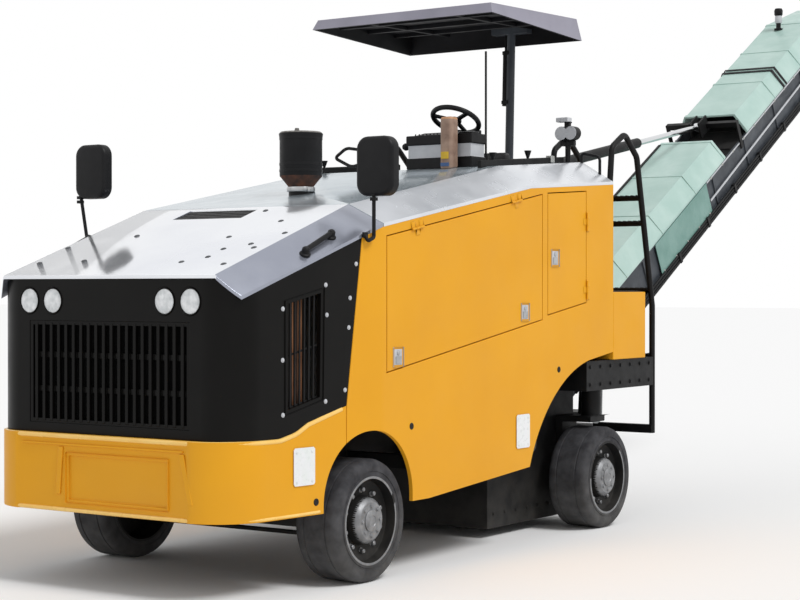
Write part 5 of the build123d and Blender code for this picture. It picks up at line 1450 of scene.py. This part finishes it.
# Conveyor: s up the belt and h off its underside
FRAME_SIDE = 310.4          # half width of its side frames
SHEET_S = (1400.0, 2450.0)
SHEETS = (
    # outer x, h range
    (316.0, (60, 333)),
    (319.0, (322, 334)),
)
PIPES = (
    # h, radius
    (24, 13), (52, 9), (78, 9),
)
PIPE_X = 322.0
PIPE_S = (260.0, 5400.0)
PIPE_CLIPS = 9
PIPE_CLIP_FIRST = 500.0
PIPE_CLIP_PITCH = 600.0
PIPE_CLIP_LENGTH = 34.0
PIPE_CLIP_X = (308.0, 336.0)
PIPE_CLIP_H = (10.0, 92.0)
RAIL_S = (2470.0, 5400.0)
SLANT_RAIL_H = ((160.0, 178.0), (206.0, 224.0))    # at its lower and upper end
TOP_RAIL_X = (FRAME_SIDE, 315.0)
TOP_RAIL_H = (322.0, 334.0)
BOLT_ROWS = (
    # count, first s, pitch, h, x
    (12, 2560.0, 250.0, 328.0, 315.0),
    (12, 2560.0, 250.0, 20.0, FRAME_SIDE),
    (5, 1450.0, 237.0, 85.0, 316.0),
)
COVER_EDGE_H = (345.0, 356.0)
COVER_TOP_HALF = 226.0
COVER_TOP_H = 505.0
COVER_JOINTS = (
    (254, 290), (870, 890), (1560, 1580), (2240, 2260), (2864, 2896), (3404, 3440), (4080, 4100),
    (4760, 4780), (5420, 5450),
)
JOINT_PROUD = 5.0
STRAPS = ((4300, 4330), (4365, 4390))
STRAP_PROUD = 9.0
BAND_THICK = 5.0
LONG_STRAP = ((-236, -214), (600, 2850), (500, 514))    # x, s and h ranges
WORK_LAMP_PLACE = (5300.0, 505.0, -60.0)    # s, h, x
WORK_LAMP_FOOT = ((0, -4), (40, -4), (40, 10), (22, 16), (22, 60), (0, 60))
WORK_LAMP_CAP = ((0, 128), (30, 128), (38, 140), (40, 176), (30, 196), (0, 200))
WORK_LAMP_GLASS = ((0, 60), (30, 60), (33, 72), (33, 118), (30, 128), (0, 128))


def belt_block(bm, x_range, s_range, h_range):
    """A block square to the conveyor."""
    (x0, x1), (s0, s1), (h0, h1) = x_range, s_range, h_range
    prism(bm, [up_belt(s0, h0, x0), up_belt(s0, h0, x1), up_belt(s0, h1, x1), up_belt(s0, h1, x0)],
          UP_BELT * (s1 - s0) * MM)


def cover_band(bm, s_range, proud):
    """A strip over the conveyor's cover."""
    low, high = s_range
    half, foot_h, knee_h = CONVEYOR_HALF + proud, *COVER_EDGE_H
    top_half, top_h = COVER_TOP_HALF + proud, COVER_TOP_H + proud
    section = ((-half, foot_h), (-half, knee_h), (-top_half, top_h),
               (top_half, top_h), (half, knee_h), (half, foot_h))
    verts = [bm.verts.new(up_belt(low, h, x)) for x, h in section]
    edges = [bm.edges.new(pair) for pair in zip(verts, verts[1:])]
    made = bmesh.ops.extrude_edge_only(bm, edges=edges)["geom"]
    push_out(bm, made, UP_BELT * (high - low) * MM)
    faces = [f for f in made if isinstance(f, bmesh.types.BMFace)]
    bmesh.ops.recalc_face_normals(bm, faces=faces)
    bmesh.ops.solidify(bm, geom=faces, thickness=BAND_THICK * MM)


class PLANER_OT_conveyor(bpy.types.Operator):
    """Side sheets, pipes, cover bands and work lamp of the conveyor"""
    bl_idname = "planer.conveyor"
    bl_label = "Conveyor"

    def execute(self, context):
        sheets, pipes, rails, straps, lamp, glow, bands, bolts = (bmesh.new() for _ in range(8))
        for side, _ in SIDES:
            out = ACROSS * side
            for outer_x, h_range in SHEETS:
                belt_block(sheets, span(side, FRAME_SIDE + 0.1, outer_x), SHEET_S, h_range)
            for h, radius in PIPES:
                pipe(pipes, [up_belt(s, h, side * PIPE_X) for s in PIPE_S], radius)
            for i in range(PIPE_CLIPS):
                s = PIPE_CLIP_FIRST + i * PIPE_CLIP_PITCH
                belt_block(pipes, span(side, *PIPE_CLIP_X), (s, s + PIPE_CLIP_LENGTH), PIPE_CLIP_H)
            (low_s, high_s), (low_h, high_h) = RAIL_S, SLANT_RAIL_H
            outline = ((low_s, low_h[0]), (low_s, low_h[1]), (high_s, high_h[1]), (high_s, high_h[0]))
            prism(rails, [up_belt(s, h, side * FRAME_SIDE) for s, h in outline], out * 6 * MM)
            belt_block(rails, span(side, *TOP_RAIL_X), RAIL_S, TOP_RAIL_H)
            for count, first, pitch, h, x in BOLT_ROWS:
                for i in range(count):
                    bolt(bolts, up_belt(first + i * pitch, h, side * x), out, radius=8, height=6)
        for s_range in COVER_JOINTS:
            cover_band(bands, s_range, JOINT_PROUD)
        for s_range in STRAPS:
            cover_band(straps, s_range, STRAP_PROUD)
        belt_block(straps, *LONG_STRAP)
        place = up_belt(*WORK_LAMP_PLACE)
        turned(lamp, WORK_LAMP_FOOT, place, UP, 24)
        turned(lamp, WORK_LAMP_CAP, place, UP, 24)
        turned(glow, WORK_LAMP_GLASS, place, UP, 24)
        finish_piece(lamp, "conveyor_lamp", "conveyor", "plastic", 1)
        finish_piece(glow, "conveyor_lamp_glass", "conveyor", "pale", 1)
        # The side sheets wear the darker mint: painted shade
        finish_piece(sheets, "conveyor_side_sheets", "conveyor", "mint_side_shade", 1.5)
        finish_piece(pipes, "conveyor_pipes", "conveyor", "black", 1)
        finish_piece(rails, "conveyor_rails", "conveyor", "pale", 1)
        finish_piece(bands, "cover_joints", "conveyor", "mint", 1)
        finish_piece(straps, "cover_straps", "conveyor", "rubber_black", 1)
        finish_piece(bolts, "conveyor_bolts", "conveyor", "zinc")
        return {"FINISHED"}


# Drum housing, tail frame and slewing ring
FRAME_BOLT_ROWS = (
    # count, x, first back, pitch, heights
    (8, 580.0, 1850.0, 138.0, (150.0, 1040.0)),
    (7, 945.0, 2450.0, 140.0, (1060.0, 945.0)),
)
RING_BOLTS = 20
RING_BOLT_CIRCLE = 150.0
RING_TOP = 690.3


class PLANER_OT_underside(bpy.types.Operator):
    """Bolts of the drum housing, the tail frame and the slewing ring"""
    bl_idname = "planer.underside"
    bl_label = "Frame bolts"

    def execute(self, context):
        bolts, ring = bmesh.new(), bmesh.new()
        for side, _ in SIDES:
            for count, x, first, pitch, heights in FRAME_BOLT_ROWS:
                for i in range(count):
                    for z in heights:
                        bolt(bolts, at(side * x, first + i * pitch, z), ACROSS * side, radius=11, height=8)
        for i in range(RING_BOLTS):
            turn = tau * i / RING_BOLTS
            bolt(ring, at(RING_BOLT_CIRCLE * cos(turn), SLEW_BACK + RING_BOLT_CIRCLE * sin(turn), RING_TOP),
                 UP, radius=11, height=9)
        finish_piece(bolts, "frame_bolts", "chassis", "black")
        finish_piece(ring, "slewing_ring_bolts", "console", "zinc")
        return {"FINISHED"}


# Light: a soft key from the machine's left and above, and a weak fill
LAMPS = (
    # name, direction to the lamp, share of the key's strength, softness in degrees
    ("key", (0.60, -0.03, 0.80), 1.0, 20),
    ("fill", (-0.45, -0.75, 0.50), 0.08, 40),
)
FLOOR_HALF_METRES = 120.0
FAR_METRES = 400.0


class PLANER_OT_stage(bpy.types.Operator):
    """Floor, lamps, world and the photograph's camera"""
    bl_idname = "planer.stage"
    bl_label = "Stage"

    def execute(self, context):
        scene = context.scene
        look = scene.planer_look
        scene.view_settings.view_transform = "Standard"
        bm = bmesh.new()
        bmesh.ops.create_grid(bm, x_segments=1, y_segments=1, size=FLOOR_HALF_METRES)
        mesh = bpy.data.meshes.new("floor")
        bm.to_mesh(mesh)
        bm.free()
        floor = bpy.data.objects.new("floor", mesh)
        scene.collection.objects.link(floor)
        # Matt white paint on the studio's floor: plain, with the machine's shadow on it
        material, _, shader, _ = new_material("pale_matt_floor")
        shader.inputs["Base Color"].default_value = paint_colour("#f6f6f6")
        shader.inputs["Roughness"].default_value = 1.0
        shader.inputs["Specular IOR Level"].default_value = 0.0
        mesh.materials.append(material)

        world = bpy.data.worlds.new("studio")
        scene.world = world
        world.use_nodes = True
        tree = world.node_tree
        tree.nodes.clear()
        # White to the eye and in mirrors and glass, dimmer as a light
        rays = add_node(tree, "ShaderNodeLightPath").outputs
        seen = rays["Is Camera Ray"]
        for ray in ("Is Glossy Ray", "Is Transmission Ray"):
            seen = add_node(tree, "ShaderNodeMath", {0: seen, 1: rays[ray]}, operation="MAXIMUM").outputs[0]
        level = spread(tree, seen, 0.0, 1.0, look.world_level, 1.0)
        sky = add_node(tree, "ShaderNodeBackground", {"Color": (1, 1, 1, 1), "Strength": level})
        add_node(tree, "ShaderNodeOutputWorld", {"Surface": sky.outputs[0]})

        for name, towards, share, softness in LAMPS:
            lamp = bpy.data.lights.new(name, "SUN")
            lamp.energy = look.key_strength * share
            lamp.angle = radians(softness)
            lamp_object = bpy.data.objects.new(name, lamp)
            lamp_object.rotation_euler = Vector(towards).to_track_quat("Z", "Y").to_euler()
            scene.collection.objects.link(lamp_object)

        camera = bpy.data.cameras.new("camera")
        camera.lens = CAMERA_LENS
        camera.sensor_width = 36.0
        camera.clip_end = FAR_METRES
        camera_object = bpy.data.objects.new("camera", camera)
        camera_object.location = at(*CAMERA_PLACE)
        looking = Vector((-sin(CAMERA_AZIMUTH) * cos(CAMERA_DOWN), cos(CAMERA_AZIMUTH) * cos(CAMERA_DOWN),
                          -sin(CAMERA_DOWN)))
        camera_object.rotation_euler = looking.to_track_quat("-Z", "Y").to_euler()
        scene.collection.objects.link(camera_object)
        scene.camera = camera_object
        return {"FINISHED"}


OPERATORS = (
    PLANER_OT_finishes, PLANER_OT_plain_nodes, PLANER_OT_headlamps, PLANER_OT_nose_details, PLANER_OT_bumper,
    PLANER_OT_hood_details, PLANER_OT_mirrors, PLANER_OT_side_details, PLANER_OT_wheels, PLANER_OT_exhaust,
    PLANER_OT_station, PLANER_OT_seat, PLANER_OT_roof, PLANER_OT_ladders, PLANER_OT_rear_details,
    PLANER_OT_conveyor, PLANER_OT_underside, PLANER_OT_stage,
)


class PLANER_PT_looks(bpy.types.Panel):
    """Every piece of the machine and what can be changed on it"""
    bl_idname = "PLANER_PT_looks"
    bl_label = "Cold planer"
    bl_space_type = "VIEW_3D"
    bl_region_type = "UI"
    bl_category = "Planer"

    def draw(self, context):
        look = context.scene.planer_look
        for name in ("body_colour", "hood_colour", "cover_colour", "tyre_colour", "dust", "bolt_size",
                     "key_strength", "world_level"):
            self.layout.prop(look, name)
        for operator in OPERATORS:
            self.layout.operator(operator.bl_idname)


CLASSES = (PlanerLook, *OPERATORS, PLANER_PT_looks)


def register():
    for cls in CLASSES:
        bpy.utils.register_class(cls)
    bpy.types.Scene.planer_look = bpy.props.PointerProperty(type=PlanerLook)


def unregister():
    del bpy.types.Scene.planer_look
    for cls in reversed(CLASSES):
        bpy.utils.unregister_class(cls)


def main():
    register()
    for operator in OPERATORS:
        name = operator.bl_idname.partition(".")[2]
        getattr(bpy.ops.planer, name)()


if __name__ == "__main__":
    main()
